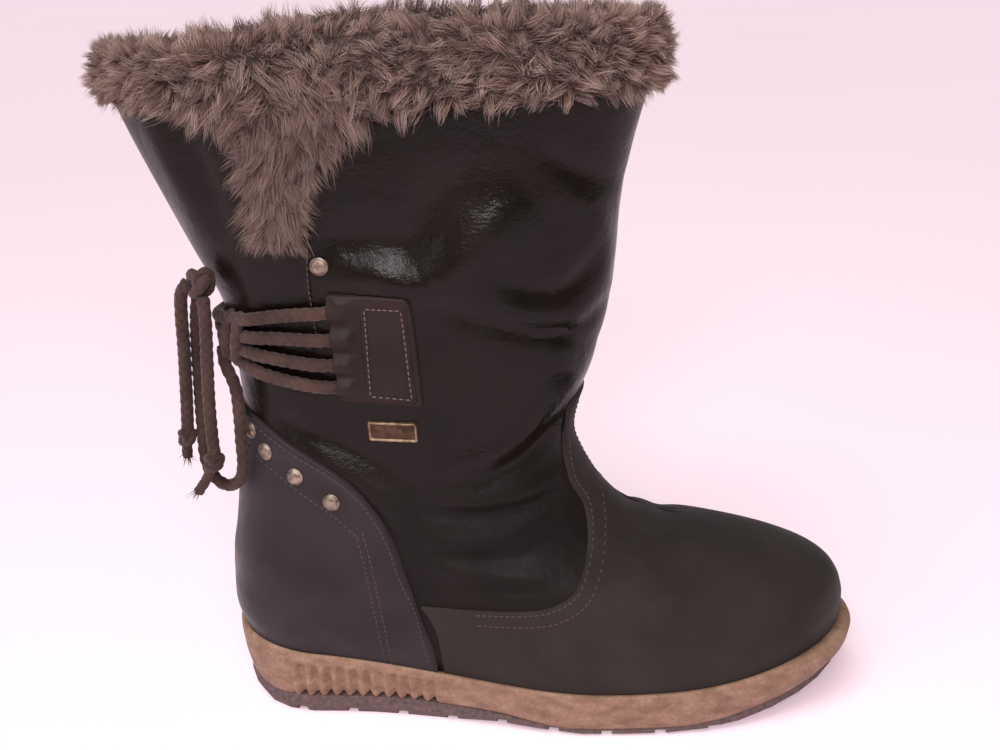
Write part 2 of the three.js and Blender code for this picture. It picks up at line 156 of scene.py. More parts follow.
def unit(vectors):
    return vectors / np.maximum(np.linalg.norm(vectors, axis=-1, keepdims=True), 1e-9)


def normal(turn, v):
    step = 0.004
    along = skin(turn + step, v) - skin(turn - step, v)
    up = skin(turn, np.minimum(1, v + step)) - skin(turn, np.maximum(0, v - step))
    return unit(np.cross(along, up))


def find(x, z, inner=False):
    """The turn and height of the points of one side that show at (x, z) in the side view."""
    x, z = np.broadcast_arrays(np.asarray(x, float), np.asarray(z, float))
    s = np.full(x.shape, 0.5)
    v = np.clip((z - 30) / 260, 0.02, 0.98)
    step = 1e-4
    for _ in range(40):
        px, pz = middle(section(v), s)
        sx, sz = middle(section(v), s + step)
        vx, vz = middle(section(v + step), s)
        a, b, c, d = (sx - px) / step, (vx - px) / step, (sz - pz) / step, (vz - pz) / step
        det = a * d - b * c
        s = np.clip(s + np.clip((d * (x - px) - b * (z - pz)) / det, -0.1, 0.1), 0.0005, 0.9995)
        v = np.clip(v + np.clip((a * (z - pz) - c * (x - px)) / det, -0.05, 0.05), 0.001, 0.998)
    turn = np.arccos(1 - 2 * s)
    return (2 * math.pi - turn if inner else turn), v


def line_distance(x, z, points):
    """Distance from (x, z) to an open line, on which side it lies (its left: +), and the
    share of the line that lies before the nearest place."""
    best = np.full(x.shape, 1e9)
    sign = np.zeros(x.shape)
    share = np.zeros(x.shape)
    count = len(points) - 1
    for i in range(count):
        (ax, az), (bx, bz) = points[i], points[i + 1]
        dx, dz = bx - ax, bz - az
        t = np.clip(((x - ax) * dx + (z - az) * dz) / (dx * dx + dz * dz), 0, 1)
        ox, oz = x - ax - t * dx, z - az - t * dz
        far = np.hypot(ox, oz)
        closer = far < best
        best = np.where(closer, far, best)
        sign = np.where(closer, np.sign(dx * oz - dz * ox), sign)
        share = np.where(closer, (i + t) / count, share)
    return best, sign, share


def step_lengths(points):
    return np.linalg.norm(np.diff(points, axis=0), axis=1)


def running(steps):
    """0, then the running sum of the steps."""
    return np.concatenate([[0], np.cumsum(steps)])


def smooth_line(points, spacing=1.0):
    """A centripetal Catmull-Rom curve through the points, at an even spacing."""
    points = np.array(points, float)
    first, last = 2 * points[0] - points[1], 2 * points[-1] - points[-2]
    padded = np.vstack([first, points, last])
    out = []
    for i in range(1, len(padded) - 2):
        p = padded[i - 1:i + 3]
        knots = running(np.sqrt(step_lengths(p)))
        t = np.linspace(knots[1], knots[2], 24, endpoint=False)[:, None]
        a = [mix(p[k], p[k + 1], (t - knots[k]) / (knots[k + 1] - knots[k])) for k in range(3)]
        b = [mix(a[k], a[k + 1], (t - knots[k]) / (knots[k + 2] - knots[k])) for k in range(2)]
        out.append(mix(b[0], b[1], (t - knots[1]) / (knots[2] - knots[1])))
    out = np.vstack([*out, points[-1:]])
    run = running(step_lengths(out))
    count = max(2, int(round(run[-1] / spacing)) + 1)
    even = np.linspace(0, run[-1], count)
    return np.stack([np.interp(even, run, out[:, k]) for k in range(out.shape[1])], -1)


# ---- Creases ----
# Soft ridges (height above 0) and troughs (below 0) of the leather, as lines in the side view.
# side is -1 for the outer side, 1 for the inner one and 0 for both.
FOLD_COLUMNS = ("side", "height", "width", "line")
FOLD_TABLE = (
    (-1, 3.6, 9, [(20, 212), (38, 213), (58, 209), (70, 214)]),
    (-1, 4.2, 12, [(63, 211), (76, 220), (88, 231), (103, 240)]),
    (-1, -2.2, 9, [(17, 229), (40, 230), (55, 229), (62, 241), (74, 254)]),
    (-1, 2.0, 8, [(68, 209), (89, 201), (106, 195), (118, 193), (129, 198)]),
    (-1, -2.2, 4, [(60, 203), (86, 193), (106, 187), (120, 186), (132, 195)]),
    (-1, -1.8, 4, [(94, 208), (113, 204), (124, 210), (130, 222)]),
    (0, 2.0, 6, [(118, 245), (128, 231), (131, 217), (131, 203)]),
    (0, -2.0, 5, [(108, 262), (122, 252), (136, 246)]),
    (0, -1.6, 4, [(108, 186), (118, 182), (127, 176)]),
    (0, 1.6, 6, [(106, 174), (116, 168), (124, 162)]),
    (-1, 2.8, 6, [(-6, 138), (12, 131), (27, 121), (39, 111), (50, 98)]),
    (-1, -1.6, 4, [(-8, 149), (14, 142), (32, 133), (50, 121)]),
    (0, -2.4, 3.5, [(52, 110), (69, 106), (87, 105), (112, 107)]),
    (0, 2.2, 5, [(58, 116), (76, 113), (96, 113), (112, 116)]),
    (0, -2.0, 4, [(80, 121), (98, 129), (107, 138), (116, 149)]),
    (0, 1.8, 5, [(62, 128), (84, 134), (98, 141), (108, 152)]),
    (-1, 1.6, 4.5, [(54, 97), (74, 93), (98, 96)]),
    (-1, -1.6, 3.5, [(54, 90), (74, 86), (100, 86)]),
    (-1, 1.4, 4, [(56, 82), (78, 78), (106, 76)]),
    (-1, -1.2, 3, [(56, 75), (78, 72), (104, 72)]),
    (-1, 2.0, 7, [(-50, 281), (-44, 264), (-39, 250), (-34, 232)]),
    (-1, -1.5, 6, [(-34, 282), (-29, 262), (-25, 246), (-22, 228)]),
    (-1, 1.2, 6, [(-12, 225), (-14, 205), (-10, 165)]),
    (1, 2.6, 7, [(10, 214), (40, 217), (66, 213), (92, 204)]),
    (1, -2.2, 6, [(5, 227), (38, 230), (68, 226), (98, 214)]),
    (1, 1.8, 7, [(60, 244), (88, 236), (112, 232)]),
    (1, 2.2, 5, [(-16, 144), (6, 138), (26, 130), (46, 118)]),
    (1, -1.5, 4, [(54, 88), (76, 83), (104, 82)]),
    (0, -1.1, 6, [(168, 84), (162, 78), (156, 64)]),
    (0, 0.9, 7, [(150, 84), (146, 74), (140, 62)]),
    (0, -0.9, 6, [(150, 92), (138, 82), (128, 66)]),
)
FOLDS = [dict(zip(FOLD_COLUMNS, row)) for row in FOLD_TABLE]
FOLD_LINES = [smooth_line(fold["line"], 6) for fold in FOLDS]
# The front panel's rear edge, which laps over the back panel on both sides.
PANEL_EDGE = [(26, 285), (16, 262), (14, 249), (11, 214), (12, 190), (14, 158)]
PANEL = {"step": 0.9, "lap": 1.8, "fades": 18, "foot": 158, "foot_over": 20}
CREASE = {"side_blend": 16, "end_share": 0.3, "fullness": 0.7}


def relief(at):
    """How far the creases and the panel's lapped edge lift the skin at its points."""
    x, y, z = at[..., 0], at[..., 1], at[..., 2]
    out = np.zeros(x.shape)
    for fold, line in zip(FOLDS, FOLD_LINES):
        far, _, share = line_distance(x, z, line)
        here = 1.0 if fold["side"] == 0 else ease(0.5 + fold["side"] * y / CREASE["side_blend"])
        taper = mix(CREASE["end_share"], 1, np.sin(math.pi * share) ** CREASE["fullness"])
        out += here * taper * fold["height"] * np.exp(-((far / fold["width"]) ** 2))
    far, sign, _ = line_distance(x, z, PANEL_EDGE)
    ahead = ease(0.5 + sign * far / PANEL["lap"])
    above = ease((z - PANEL["foot"]) / PANEL["foot_over"])
    out += PANEL["step"] * ahead * np.exp(-far / PANEL["fades"]) * above
    return out


def moved(turn, v, out):
    """The creased skin, moved out along its normal."""
    at = skin(turn, v)
    return at + normal(turn, v) * (relief(at) + out)[..., None]


# ---- Meshes ----
def full_turn(count):
    """Evenly spaced angles, once round."""
    return np.linspace(0, 2 * math.pi, count, endpoint=False)


def add_mesh(name, points, faces, material, pile=None):
    """A smooth mesh from points in millimetres."""
    mesh = bpy.data.meshes.new(name)
    mesh.from_pydata((np.reshape(points, (-1, 3)) * MM).tolist(), [], [tuple(face) for face in faces])
    if pile is not None:
        layer = mesh.color_attributes.new(name="pile", type="FLOAT_COLOR", domain="POINT")
        layer.data.foreach_set("color", pile.astype(np.float32).ravel())
    mesh.materials.append(material)
    mesh.validate()
    mesh.update()
    mesh.shade_smooth()
    piece = bpy.data.objects.new(name, mesh)
    bpy.context.collection.objects.link(piece)
    return piece


def grid_faces(rows, columns, wrap=False, closed=False, flip=False):
    """The quads of a grid; wrap joins its last column to the first, closed its last row."""
    r = np.arange(rows if closed else rows - 1)[:, None]
    c = np.arange(columns if wrap else columns - 1)[None, :]
    row = r * columns
    next_row = (r + 1) % rows * columns
    next_c = (c + 1) % columns
    quads = np.stack([row + c, row + next_c, next_row + next_c, next_row + c], -1).reshape(-1, 4)
    return (quads[:, ::-1] if flip else quads).tolist()


def add_piece(name, points, faces, material, slot, *nodes, pile=None):
    """A piece of the boot, in place of the CAD nodes named."""
    piece = add_mesh(name, points, faces, material, pile)
    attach(piece, "root")
    if nodes:
        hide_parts(*nodes)
    return piece


def join_parts(parts):
    """Several (points, faces) as one."""
    points, faces, start = [], [], 0
    for some_points, some_faces in parts:
        points.append(some_points)
        faces.extend([tuple(int(k) + start for k in face) for face in some_faces])
        start += len(some_points)
    return np.vstack(points), faces


# ---- Materials ----
def srgb(red, green, blue):
    """A linear colour from 0-255 display values."""
    def linear(value):
        part = value / 255
        return part / 12.92 if part <= 0.04045 else ((part + 0.055) / 1.055) ** 2.4
    return (linear(red), linear(green), linear(blue), 1)


class Look:
    """A procedural material, built up node by node; colours are 0-255 display values."""

    def __init__(self, name, **sockets):
        self.material = bpy.data.materials.new(name)
        self.material.use_nodes = True
        self.tree = self.material.node_tree
        self.shader = self.tree.nodes["Principled BSDF"]
        for socket, value in sockets.items():
            self.shader.inputs[socket.replace("_", " ")].default_value = value
        self.place = self.tree.nodes.new("ShaderNodeTexCoord").outputs["Object"]
        self.bumped = None

    def node(self, kind, **values):
        made = self.tree.nodes.new("ShaderNode" + kind)
        for name, value in values.items():
            setattr(made, name, value)
        return made

    def link(self, source, target):
        self.tree.links.new(source, target)

    def pattern(self, made, size, stretch=(1, 1, 1)):
        """Sets a texture's blotches to about size millimetres across."""
        mapping = self.node("Mapping")
        mapping.inputs["Scale"].default_value = stretch
        self.link(self.place, mapping.inputs["Vector"])
        self.link(mapping.outputs["Vector"], made.inputs["Vector"])
        made.inputs["Scale"].default_value = 1 / (size * MM)

    def noise(self, size, detail, stretch=(1, 1, 1)):
        made = self.node("TexNoise")
        made.inputs["Detail"].default_value = detail
        self.pattern(made, size, stretch)
        return made.outputs["Fac"]

    def cells(self, size):
        made = self.node("TexVoronoi", feature="DISTANCE_TO_EDGE")
        self.pattern(made, size)
        return made.outputs["Distance"]

    def ramp(self, factor, *stops):
        made = self.node("ValToRGB")
        ramp = made.color_ramp
        for i, (at, colour) in enumerate(stops):
            point = ramp.elements[i] if i < 2 else ramp.elements.new(at)
            point.position = at
            point.color = srgb(*colour)
        self.link(factor, made.inputs["Fac"])
        return made.outputs["Color"]

    def span(self, factor, low, high, start=0.3, end=0.7):
        """The factor's range from start to end, made low to high."""
        made = self.node("MapRange")
        for socket, value in (("From Min", start), ("From Max", end), ("To Min", low), ("To Max", high)):
            made.inputs[socket].default_value = value
        self.link(factor, made.inputs["Value"])
        return made.outputs["Result"]

    def blend(self, factor, one, colour):
        made = self.node("Mix", data_type="RGBA")
        self.link(factor, made.inputs[0])
        self.link(one, made.inputs[6])
        made.inputs[7].default_value = srgb(*colour)
        return made.outputs[2]

    def set(self, socket, source):
        self.link(source, self.shader.inputs[socket])

    def bump(self, height, depth, strength):
        """Adds a bump that is depth millimetres deep."""
        made = self.node("Bump")
        made.inputs["Strength"].default_value = strength
        made.inputs["Distance"].default_value = depth * MM
        self.link(height, made.inputs["Height"])
        if self.bumped is not None:
            self.link(self.bumped, made.inputs["Normal"])
        self.bumped = made.outputs["Normal"]
        self.set("Normal", self.bumped)


def make_look(name, tone, fleck=None, rough=None, bumps=(), **sockets):
    """A material from its noises, each a size in millimetres, a detail and perhaps a stretch.

    tone is a noise and its colour stops, fleck a noise, its strength and its colour, rough a
    noise and its two limits, and bumps are noises with a depth and a strength.
    """
    look = Look(name, **sockets)
    noise, *stops = tone
    colour = look.ramp(look.noise(*noise), *stops)
    if fleck:
        noise, strength, fleck_colour = fleck
        colour = look.blend(look.span(look.noise(*noise), 0, strength), colour, fleck_colour)
    look.set("Base Color", colour)
    if rough:
        noise, low, high = rough
        look.set("Roughness", look.span(look.noise(*noise), low, high))
    for noise, depth, strength in bumps:
        look.bump(look.noise(*noise), depth, strength)
    return look.material


def make_leather(name, dark, light, rough_low, rough_high):
    look = Look(name, Specular_IOR_Level=0.19)
    tone = look.ramp(look.noise(38, 4), (0.3, dark), (0.72, light))
    look.set("Base Color", look.blend(look.span(look.noise(1.6, 3), 0, 0.3), tone, dark))
    height = look.node("SeparateXYZ")
    look.link(look.place, height.inputs["Vector"])
    matt = look.span(height.outputs["Z"], low=0.32, high=0, start=0.1, end=0.14)  # duller by the foot
    wear = look.node("Math", operation="ADD")
    look.link(look.span(look.noise(22, 5), rough_low, rough_high), wear.inputs[0])
    look.link(matt, wear.inputs[1])
    look.set("Roughness", wear.outputs["Value"])
    look.bump(look.noise(9, 4), 1.1, 0.55)
    look.bump(look.noise(3, 4, stretch=(1, 1, 2.2)), 0.35, 0.5)
    look.bump(look.cells(1.1), 0.14, 0.5)
    look.bump(look.noise(0.5, 2), 0.05, 0.4)
    return look.material


def make_nubuck(name, dark, light, rough):
    return make_look(
        name, ((30, 5), (0.3, dark), (0.72, light)), ((0.6, 4), 0.45, dark),
        ((16, 4), rough - 0.14, rough + 0.1), [((12, 4), 0.7, 0.4), ((0.6, 4), 0.09, 0.6)],
        Specular_IOR_Level=0.15, Sheen_Weight=0.05, Sheen_Roughness=0.5,
    )


def make_thread(name, colour):
    return make_look(
        name, ((0.35, 2), (0.3, colour), (0.7, colour)), ((0.35, 2), 0.5, (40, 32, 30)),
        bumps=[((0.35, 2), 0.08, 0.6)], Roughness=0.7, Specular_IOR_Level=0.3,
    )


def make_brass(name, dull, bright):
    return make_look(
        name, ((2.4, 5), (0.32, dull), (0.66, bright)), rough=((1.2, 4), 0.32, 0.62),
        bumps=[((0.6, 3), 0.05, 0.5)], Metallic=0.9,
    )


def make_fur(name):
    """The hairs' look, from their pile colour: darker roots, paler tips, and each clump its own."""
    look = Look(name, Roughness=0.7, Specular_IOR_Level=0.3, Sheen_Weight=0.2)
    split = look.node("SeparateColor")
    look.link(look.node("Attribute", attribute_name="pile").outputs["Color"], split.inputs["Color"])
    root, body, tip = (68, 48, 41), (144, 113, 99), (220, 196, 181)
    shade = look.ramp(split.outputs["Red"], (0.0, root), (0.4, body), (1.0, tip))
    shade = look.blend(look.span(split.outputs["Blue"], 0, 0.7, 0, 1), shade, (98, 75, 67))
    shade = look.blend(look.span(split.outputs["Green"], 0, 0.35, 0, 1), shade, (76, 57, 50))
    look.set("Base Color", look.blend(look.span(look.noise(16, 4), 0.35, 0), shade, (88, 67, 60)))
    return look.material


LEATHER = make_leather("shaft_leather_look", (12, 8, 5), (22, 16, 11), 0.2, 0.36)
TAB_LEATHER = make_leather("tab_leather_look", (30, 21, 18), (44, 33, 28), 0.42, 0.6)
COUNTER_LEATHER = make_nubuck("counter_leather_look", (34, 29, 30), (51, 45, 47), 0.46)
NUBUCK = make_nubuck("nubuck_look", (38, 33, 31), (51, 45, 42), 0.74)
GUM_STREAK = (6, 5, (0.7, 0.7, 1.2))
GUM_SPECK = (1.4, 5)
GUM = make_look(
    "gum_look", (GUM_STREAK, (0.3, (120, 92, 72)), (0.5, (144, 113, 90)), (0.75, (164, 134, 112))),
    (GUM_SPECK, 0.5, (112, 84, 70)), (GUM_SPECK, 0.5, 0.75),
    [(GUM_SPECK, 0.18, 0.5), (GUM_STREAK, 0.5, 0.25)], Specular_IOR_Level=0.4,
)
TREAD = make_look(
    "tread_look", ((2.2, 5), (0.3, (72, 58, 56)), (0.7, (106, 88, 86))), rough=((2.2, 5), 0.62, 0.85),
    bumps=[((2.2, 5), 0.25, 0.5)], Specular_IOR_Level=0.35,
)
CORD = make_look(
    "lace_look", ((12, 3), (0.3, (54, 38, 33)), (0.7, (84, 63, 56))), ((0.5, 4), 0.6, (38, 26, 23)),
    bumps=[((0.5, 4), 0.2, 0.7)], Roughness=0.85, Specular_IOR_Level=0.2, Sheen_Weight=0.15,
)
THREAD = make_thread("thread_look", (112, 96, 92))
DARK_THREAD = make_thread("dark_thread_look", (80, 67, 64))
BRASS = make_brass("aged_brass_look", (96, 84, 74), (168, 152, 136))
PLATE_BRASS = make_brass("plate_brass_look", (104, 84, 66), (160, 136, 108))
PLATE_DARK = make_brass("plate_field_look", (58, 44, 36), (92, 72, 56))
FLEECE = make_look(
    "lining_look", ((2.2, 6), (0.3, (92, 72, 62)), (0.7, (152, 126, 112))), bumps=[((2.2, 6), 1.4, 0.8)],
    Roughness=0.95, Specular_IOR_Level=0.1, Sheen_Weight=0.08, Sheen_Roughness=0.6,
)
FUR = make_fur("fur_look")
FUR_BASE = make_look(
    "fur_base_look", ((16, 4), (0.3, (58, 43, 38)), (0.7, (96, 76, 67))), bumps=[((1.5, 5), 1.0, 0.8)],
    Roughness=0.7, Specular_IOR_Level=0.3, Sheen_Weight=0.2,
)

# ---- Lace ----
LACE = 5.2
BRAID = {"strands": 4, "pitch": 9.0, "depth": 0.17, "swell": 1.05, "mean": 0.75, "sides": 20}
CORD_SHARE = {"knot": 0.46, "end_knot": 0.38, "tip": 0.42, "wrap": 0.44}  # radii, of the lace's width
TREFOIL_REACH = np.array([3.0, 3.0, 1.6])


def tube(points, radius, spacing=0.8):
    """A braided tube along a line of points: (points, faces, centres of its rings)."""
    path = smooth_line(points, spacing)
    ahead = unit(np.gradient(path, axis=0))
    across = np.zeros_like(path)
    across[0] = unit(np.cross(ahead[0], [0.3, 0.9, 0.2]))
    for i in range(1, len(path)):
        across[i] = unit(across[i - 1] - ahead[i] * np.dot(across[i - 1], ahead[i]))
    lift = np.cross(ahead, across)
    sides = BRAID["sides"]
    angle = full_turn(sides)[None, :]
    wave = 4 * math.pi * running(step_lengths(path))[:, None] / BRAID["pitch"]
    one = np.cos(BRAID["strands"] * angle + wave)
    other = np.cos(BRAID["strands"] * angle - wave)
    wide = radius * (BRAID["swell"] + BRAID["depth"] * (np.maximum(one, other) - BRAID["mean"]))
    ring = np.cos(angle)[..., None] * across[:, None] + np.sin(angle)[..., None] * lift[:, None]
    tube_points = path[:, None] + wide[..., None] * ring
    count = len(path)
    faces = grid_faces(count, sides, wrap=True)
    faces.append(tuple(range(sides))[::-1])
    faces.append(tuple(range((count - 1) * sides, count * sides)))
    return tube_points.reshape(-1, 3), faces, path


def knot_tube(centre, size, cord_radius, tilt):
    """An overhand knot pulled tight: a trefoil of cord."""
    t = full_turn(90)
    deep = TREFOIL_REACH[2]
    trefoil = np.stack([
        np.sin(t) + 2 * np.sin(2 * t), np.cos(t) - 2 * np.cos(2 * t), -deep * np.sin(3 * t),
    ], -1)
    path = trefoil * np.maximum((np.array(size) - cord_radius) / TREFOIL_REACH, 0.25)
    turned = np.array(Matrix.Rotation(tilt, 3, "X") @ Matrix.Rotation(tilt * 0.7, 3, "Y"))
    path = path @ turned.T + np.array(centre)
    return tube(np.vstack([path, path[:1]]), cord_radius, 0.7)[:2]


LOOP = (
    (-31, -21, 171), (-27, -23.5, 161), (-26, -25.5, 148), (-26, -27, 136), (-26.4, -27, 125),
    (-29.2, -25.8, 117.6), (-36, -23, 114), (-42.6, -20.4, 117.6), (-45.4, -19, 125),
    (-45.5, -18, 140), (-44.5, -18, 160), (-43, -19, 180), (-41, -20.5, 194), (-38, -24, 203),
)
LOOP_START = (-31.5, -20, 178.5)  # inside the bunched bars, where the loop sets out
KNOT = {"centre": (-36, -26, 208.5), "size": (6.5, 6.5, 6.2), "tilt": 0.5}
END_TILT = 0.9
ENDS = {
    "lace_end_a": {
        "run": (
            (-41, -27, 209), (-44.5, -26, 204), (-46, -25, 195), (-47, -24, 182), (-48.5, -23, 165),
            (-50, -22, 150), (-51, -22, 140),
        ),
        "knot": {"centre": (-51.5, -22, 137), "size": (4.6, 4.4, 4.6)},
        "tip": ((-52.2, -22, 132), (-52.5, -22, 127.5)),
    },
    "lace_end_b": {
        "run": (
            (-34.5, -29, 203), (-34.5, -30, 192), (-36, -29.5, 175), (-37.5, -29, 156), (-38, -29, 140),
            (-38, -29, 131),
        ),
        "knot": {"centre": (-38.5, -29, 128), "size": (5, 4.6, 5)},
        "tip": ((-43, -28, 119.5), (-48, -27, 112.5)),
    },
}
FRAY = {"fibres": 26, "length": 6, "scatter": 0.38, "spread": 0.9, "back": 1.5, "width": 0.22}


def frayed_tip(points, radius):
    """The last stretch of an end, with loose fibres where it was cut."""
    body, faces, path = tube(points, radius)
    ahead = unit(path[-1] - path[-3])
    parts = [(body, faces)]
    for _ in range(FRAY["fibres"]):
        spread = rng.normal(size=3) * FRAY["scatter"]
        start = path[-1] - ahead * FRAY["back"] + spread * radius
        end = start + (ahead + spread * FRAY["spread"]) * FRAY["length"] * rng.uniform(0.5, 1)
        side = unit(np.cross(ahead, rng.normal(size=3))) * FRAY["width"]
        lift = unit(np.cross(ahead, side)) * FRAY["width"]
        corners = np.array([start + side, start - side / 2 + lift, start - side / 2 - lift, end])
        parts.append((corners, [(0, 1, 2), (0, 3, 1), (1, 3, 2), (2, 3, 0)]))
    return join_parts(parts)


def add_lacing():
    points, faces = knot_tube(KNOT["centre"], KNOT["size"], LACE * CORD_SHARE["knot"], KNOT["tilt"])
    knot = add_piece("main_knot", points, faces, CORD, "lace_cord", "lace_knot")
    points, faces, path = tube((LOOP_START, *LOOP), LACE / 2)
    loop = add_piece("hanging_loop", points, faces, CORD, "lace_cord", "lace_loop")
    for name, end in ENDS.items():
        centre, size = end["knot"]["centre"], end["knot"]["size"]
        small_knot = knot_tube(centre, size, LACE * CORD_SHARE["end_knot"], END_TILT)
        points, faces = join_parts([small_knot, frayed_tip((centre, *end["tip"]), LACE * CORD_SHARE["tip"])])
        lump = add_piece(f"{name}_tied", points, faces, CORD, "lace_cord", f"{name}_knot")
        points, faces, path = tube((*end["run"], centre), LACE / 2)
        cord = add_piece(f"{name}_cord", points, faces, CORD, "lace_cord", name)


add_lacing()

TAB = ((25, 160), (57, 157), (54, 206), (23, 208))
BARS = (
    {"atTab": 200, "back": 189},
    {"atTab": 188, "back": 185},
    {"atTab": 177, "back": 181},
    {"atTab": 167, "back": 177},
)
BAR_CLEAR = 1.3
BAR_WAVE = 0.8
BAR_SINKS = ({"by": 1.5, "before": 11, "over": 9}, {"by": 1.0, "before": 1, "over": 5})  # by the tab
TUCK = 3  # how far each bar runs on under the tab


def level_at(turn, z):
    lo = np.zeros_like(turn)
    hi = np.ones_like(turn)
    for _ in range(30):
        v = (lo + hi) / 2
        low = skin(turn, v)[..., 2] < z
        lo = np.where(low, v, lo)
        hi = np.where(low, hi, v)
    return lo


def add_bars():
    parts = []
    (rear_low_x, rear_low_z), _, _, (rear_top_x, rear_top_z) = TAB
    for i, bar in enumerate(BARS):
        share = (bar["atTab"] - rear_low_z) / (rear_top_z - rear_low_z)
        rear_x = mix(rear_low_x, rear_top_x, share)
        reach, _ = find(rear_x + TUCK, bar["atTab"])
        t = np.linspace(1, -1, 41)
        z = mix(bar["back"], bar["atTab"], ease(np.abs(t)))
        z = z + BAR_WAVE * np.sin(7 * t + 2 * i) * (1 - np.abs(t))
        turn = t * reach
        v = level_at(turn, z)
        at = skin(turn, v)
        clear = LACE / 2 + BAR_CLEAR + relief(at)
        ahead = at[..., 0] - rear_x
        sunk = sum(sink["by"] * ease((ahead + sink["before"]) / sink["over"]) for sink in BAR_SINKS)
        line = at + normal(turn, v) * (clear - sunk)[:, None]
        parts.append(tube(line, LACE / 2, 1.0)[:2])
    add_piece("lacing_bars", *join_parts(parts), CORD, "lace_cord", "lace_bars")


add_bars()

WRAP = {
    "rounds": 2, "x": -25, "step": 4.6, "low": 173, "high": 194, "bow": 2.2, "lean": 1.5, "out": 4.4,
    "sunk": 1.0,
}


def add_wrap():
    """The lace's turns round the bunched bars, behind the outer side."""
    parts = []
    angle = full_turn(32)
    z = mix(WRAP["low"], WRAP["high"], 0.5 + 0.5 * np.cos(angle))
    out = LACE / 2 + BAR_CLEAR + WRAP["out"] * np.sin(angle) - WRAP["sunk"]
    for i in range(WRAP["rounds"]):
        middle_x = WRAP["x"] + i * WRAP["step"]
        turn, v = find(middle_x + WRAP["bow"] * np.sin(angle) + WRAP["lean"] * np.cos(angle), z)
        looped = skin(turn, v) + normal(turn, v) * out[:, None]
        looped = smooth_line(np.vstack([looped, looped[:1]]))
        parts.append(tube(looped, LACE * CORD_SHARE["wrap"], 0.9)[:2])
    add_piece("lace_wrap", *join_parts(parts), CORD, "lace_cord", "lace_bars")


add_wrap()

# ---- Leather pieces ----
SHELL = {"around": 330, "up": 185, "inside": 46, "leather": 0.9}


def add_shell():
    """The creased leather from the gum rim to the collar, with its inside face."""
    turn = full_turn(SHELL["around"])
    outside = moved(turn, np.linspace(0, 1, SHELL["up"])[:, None], 0.0)
    inside = moved(turn, np.linspace(1, 0, SHELL["inside"])[:, None], -SHELL["leather"])
    points = np.vstack([outside.reshape(-1, 3), inside.reshape(-1, 3)])
    faces = grid_faces(SHELL["up"] + SHELL["inside"], SHELL["around"], wrap=True, closed=True)
    add_piece("leather_upper", points, faces, LEATHER, "shaft_leather", "upper")


add_shell()

LINING = {"around": 150, "up": 84, "foot": 0.02, "inside": 0.1, "nap": 0.2, "gap": 0.2}


def add_lining():
    turn = full_turn(LINING["around"])
    v = np.linspace(LINING["foot"], 1, LINING["up"])[:, None]
    nap = LINING["nap"] * rng.normal(size=(LINING["up"], LINING["around"]))
    face = moved(turn, v, -WALL + LINING["inside"] + nap)
    back = moved(turn, v[::-1], -SHELL["leather"] - LINING["gap"])
    points = np.vstack([face.reshape(-1, 3), back.reshape(-1, 3)])
    faces = grid_faces(2 * LINING["up"], LINING["around"], wrap=True, flip=True)
    add_piece("fleece_lining", points, faces, FLEECE, "lining", "upper")


add_lining()

SINK = 0.7  # how far an overlay's border dips into the leather under it


def rounded_height(inside, thick, radius):
    """The height of a sheet at a distance inside its edge; below the leather outside it."""
    t = np.clip(inside / radius, 0, 1)
    up = (thick + SINK) * np.sqrt(1 - (1 - t) ** 2)
    return up - SINK


VAMP_EDGE = [
    (50, 62), (57, 62), (76, 62), (96, 63), (108, 65), (117, 70), (122, 78), (124, 88), (122.5, 100),
    (116, 112), (113.5, 124), (113.5, 137), (116.5, 147), (122, 154),
]
VAMP = {"columns": 300, "rows": 90, "thick": 1.3, "edge": 1.2, "rear": 50, "rear_inside": 2}


def add_vamp():
    """The nubuck overlay from the counter's front edge on one side to that on the other."""
    edge = smooth_line(VAMP_EDGE)
    edge_turn, edge_v = find(edge[:, 0], edge[:, 1])
    edge_turn = np.maximum.accumulate(edge_turn) + 1e-5 * np.arange(len(edge))
    share = np.linspace(0, 1, VAMP["columns"] // 2)
    along_edge = np.interp(share, np.linspace(0, 1, len(edge)), edge_turn)
    one_side = mix(mix(edge_turn[0], math.pi, share), along_edge, 0.5)
    one_side[-1] = math.pi
    turn = np.concatenate([one_side, 2 * math.pi - one_side[::-1][1:]])
    folded = np.minimum(turn, 2 * math.pi - turn)
    top = np.interp(folded, edge_turn, edge_v)
    v = np.linspace(0, 1, VAMP["rows"])[:, None] ** 0.8 * top
    at = skin(turn, v)
    far, _, _ = line_distance(at[..., 0], at[..., 2], edge)
    inside = np.minimum(far, VAMP["rear_inside"] + np.clip(at[..., 0] - VAMP["rear"], 0, None))
    points = moved(turn, v, rounded_height(inside, VAMP["thick"], VAMP["edge"]))
    add_piece("nubuck_vamp", points, grid_faces(*v.shape), NUBUCK, "nubuck")


add_vamp()

COUNTER_EDGE = [
    (56, 30), (55, 38), (51, 51), (45, 76), (41, 92), (35, 106), (24, 122), (11, 132), (-3, 139.5),
    (-19, 147), (-33, 151),
]
COUNTER = {"columns": 190, "rows": 130, "thick": 2.1, "edge": 1.6}


def add_counter():
    edge = smooth_line(COUNTER_EDGE)
    edge_turn, edge_v = find(edge[:, 0], edge[:, 1])
    order = np.argsort(edge_v)
    v = np.linspace(0, 1, COUNTER["rows"])[:, None] * edge_v.max()
    turn = np.linspace(-1, 1, COUNTER["columns"]) * np.interp(v, edge_v[order], edge_turn[order])
    at = skin(turn, v)
    far, _, _ = line_distance(at[..., 0], at[..., 2], edge)
    points = moved(turn, v, rounded_height(far, COUNTER["thick"], COUNTER["edge"]))
    faces = grid_faces(*turn.shape)
    add_piece("counter_overlay", points, faces, COUNTER_LEATHER, "counter_leather", "heel_counter")


add_counter()


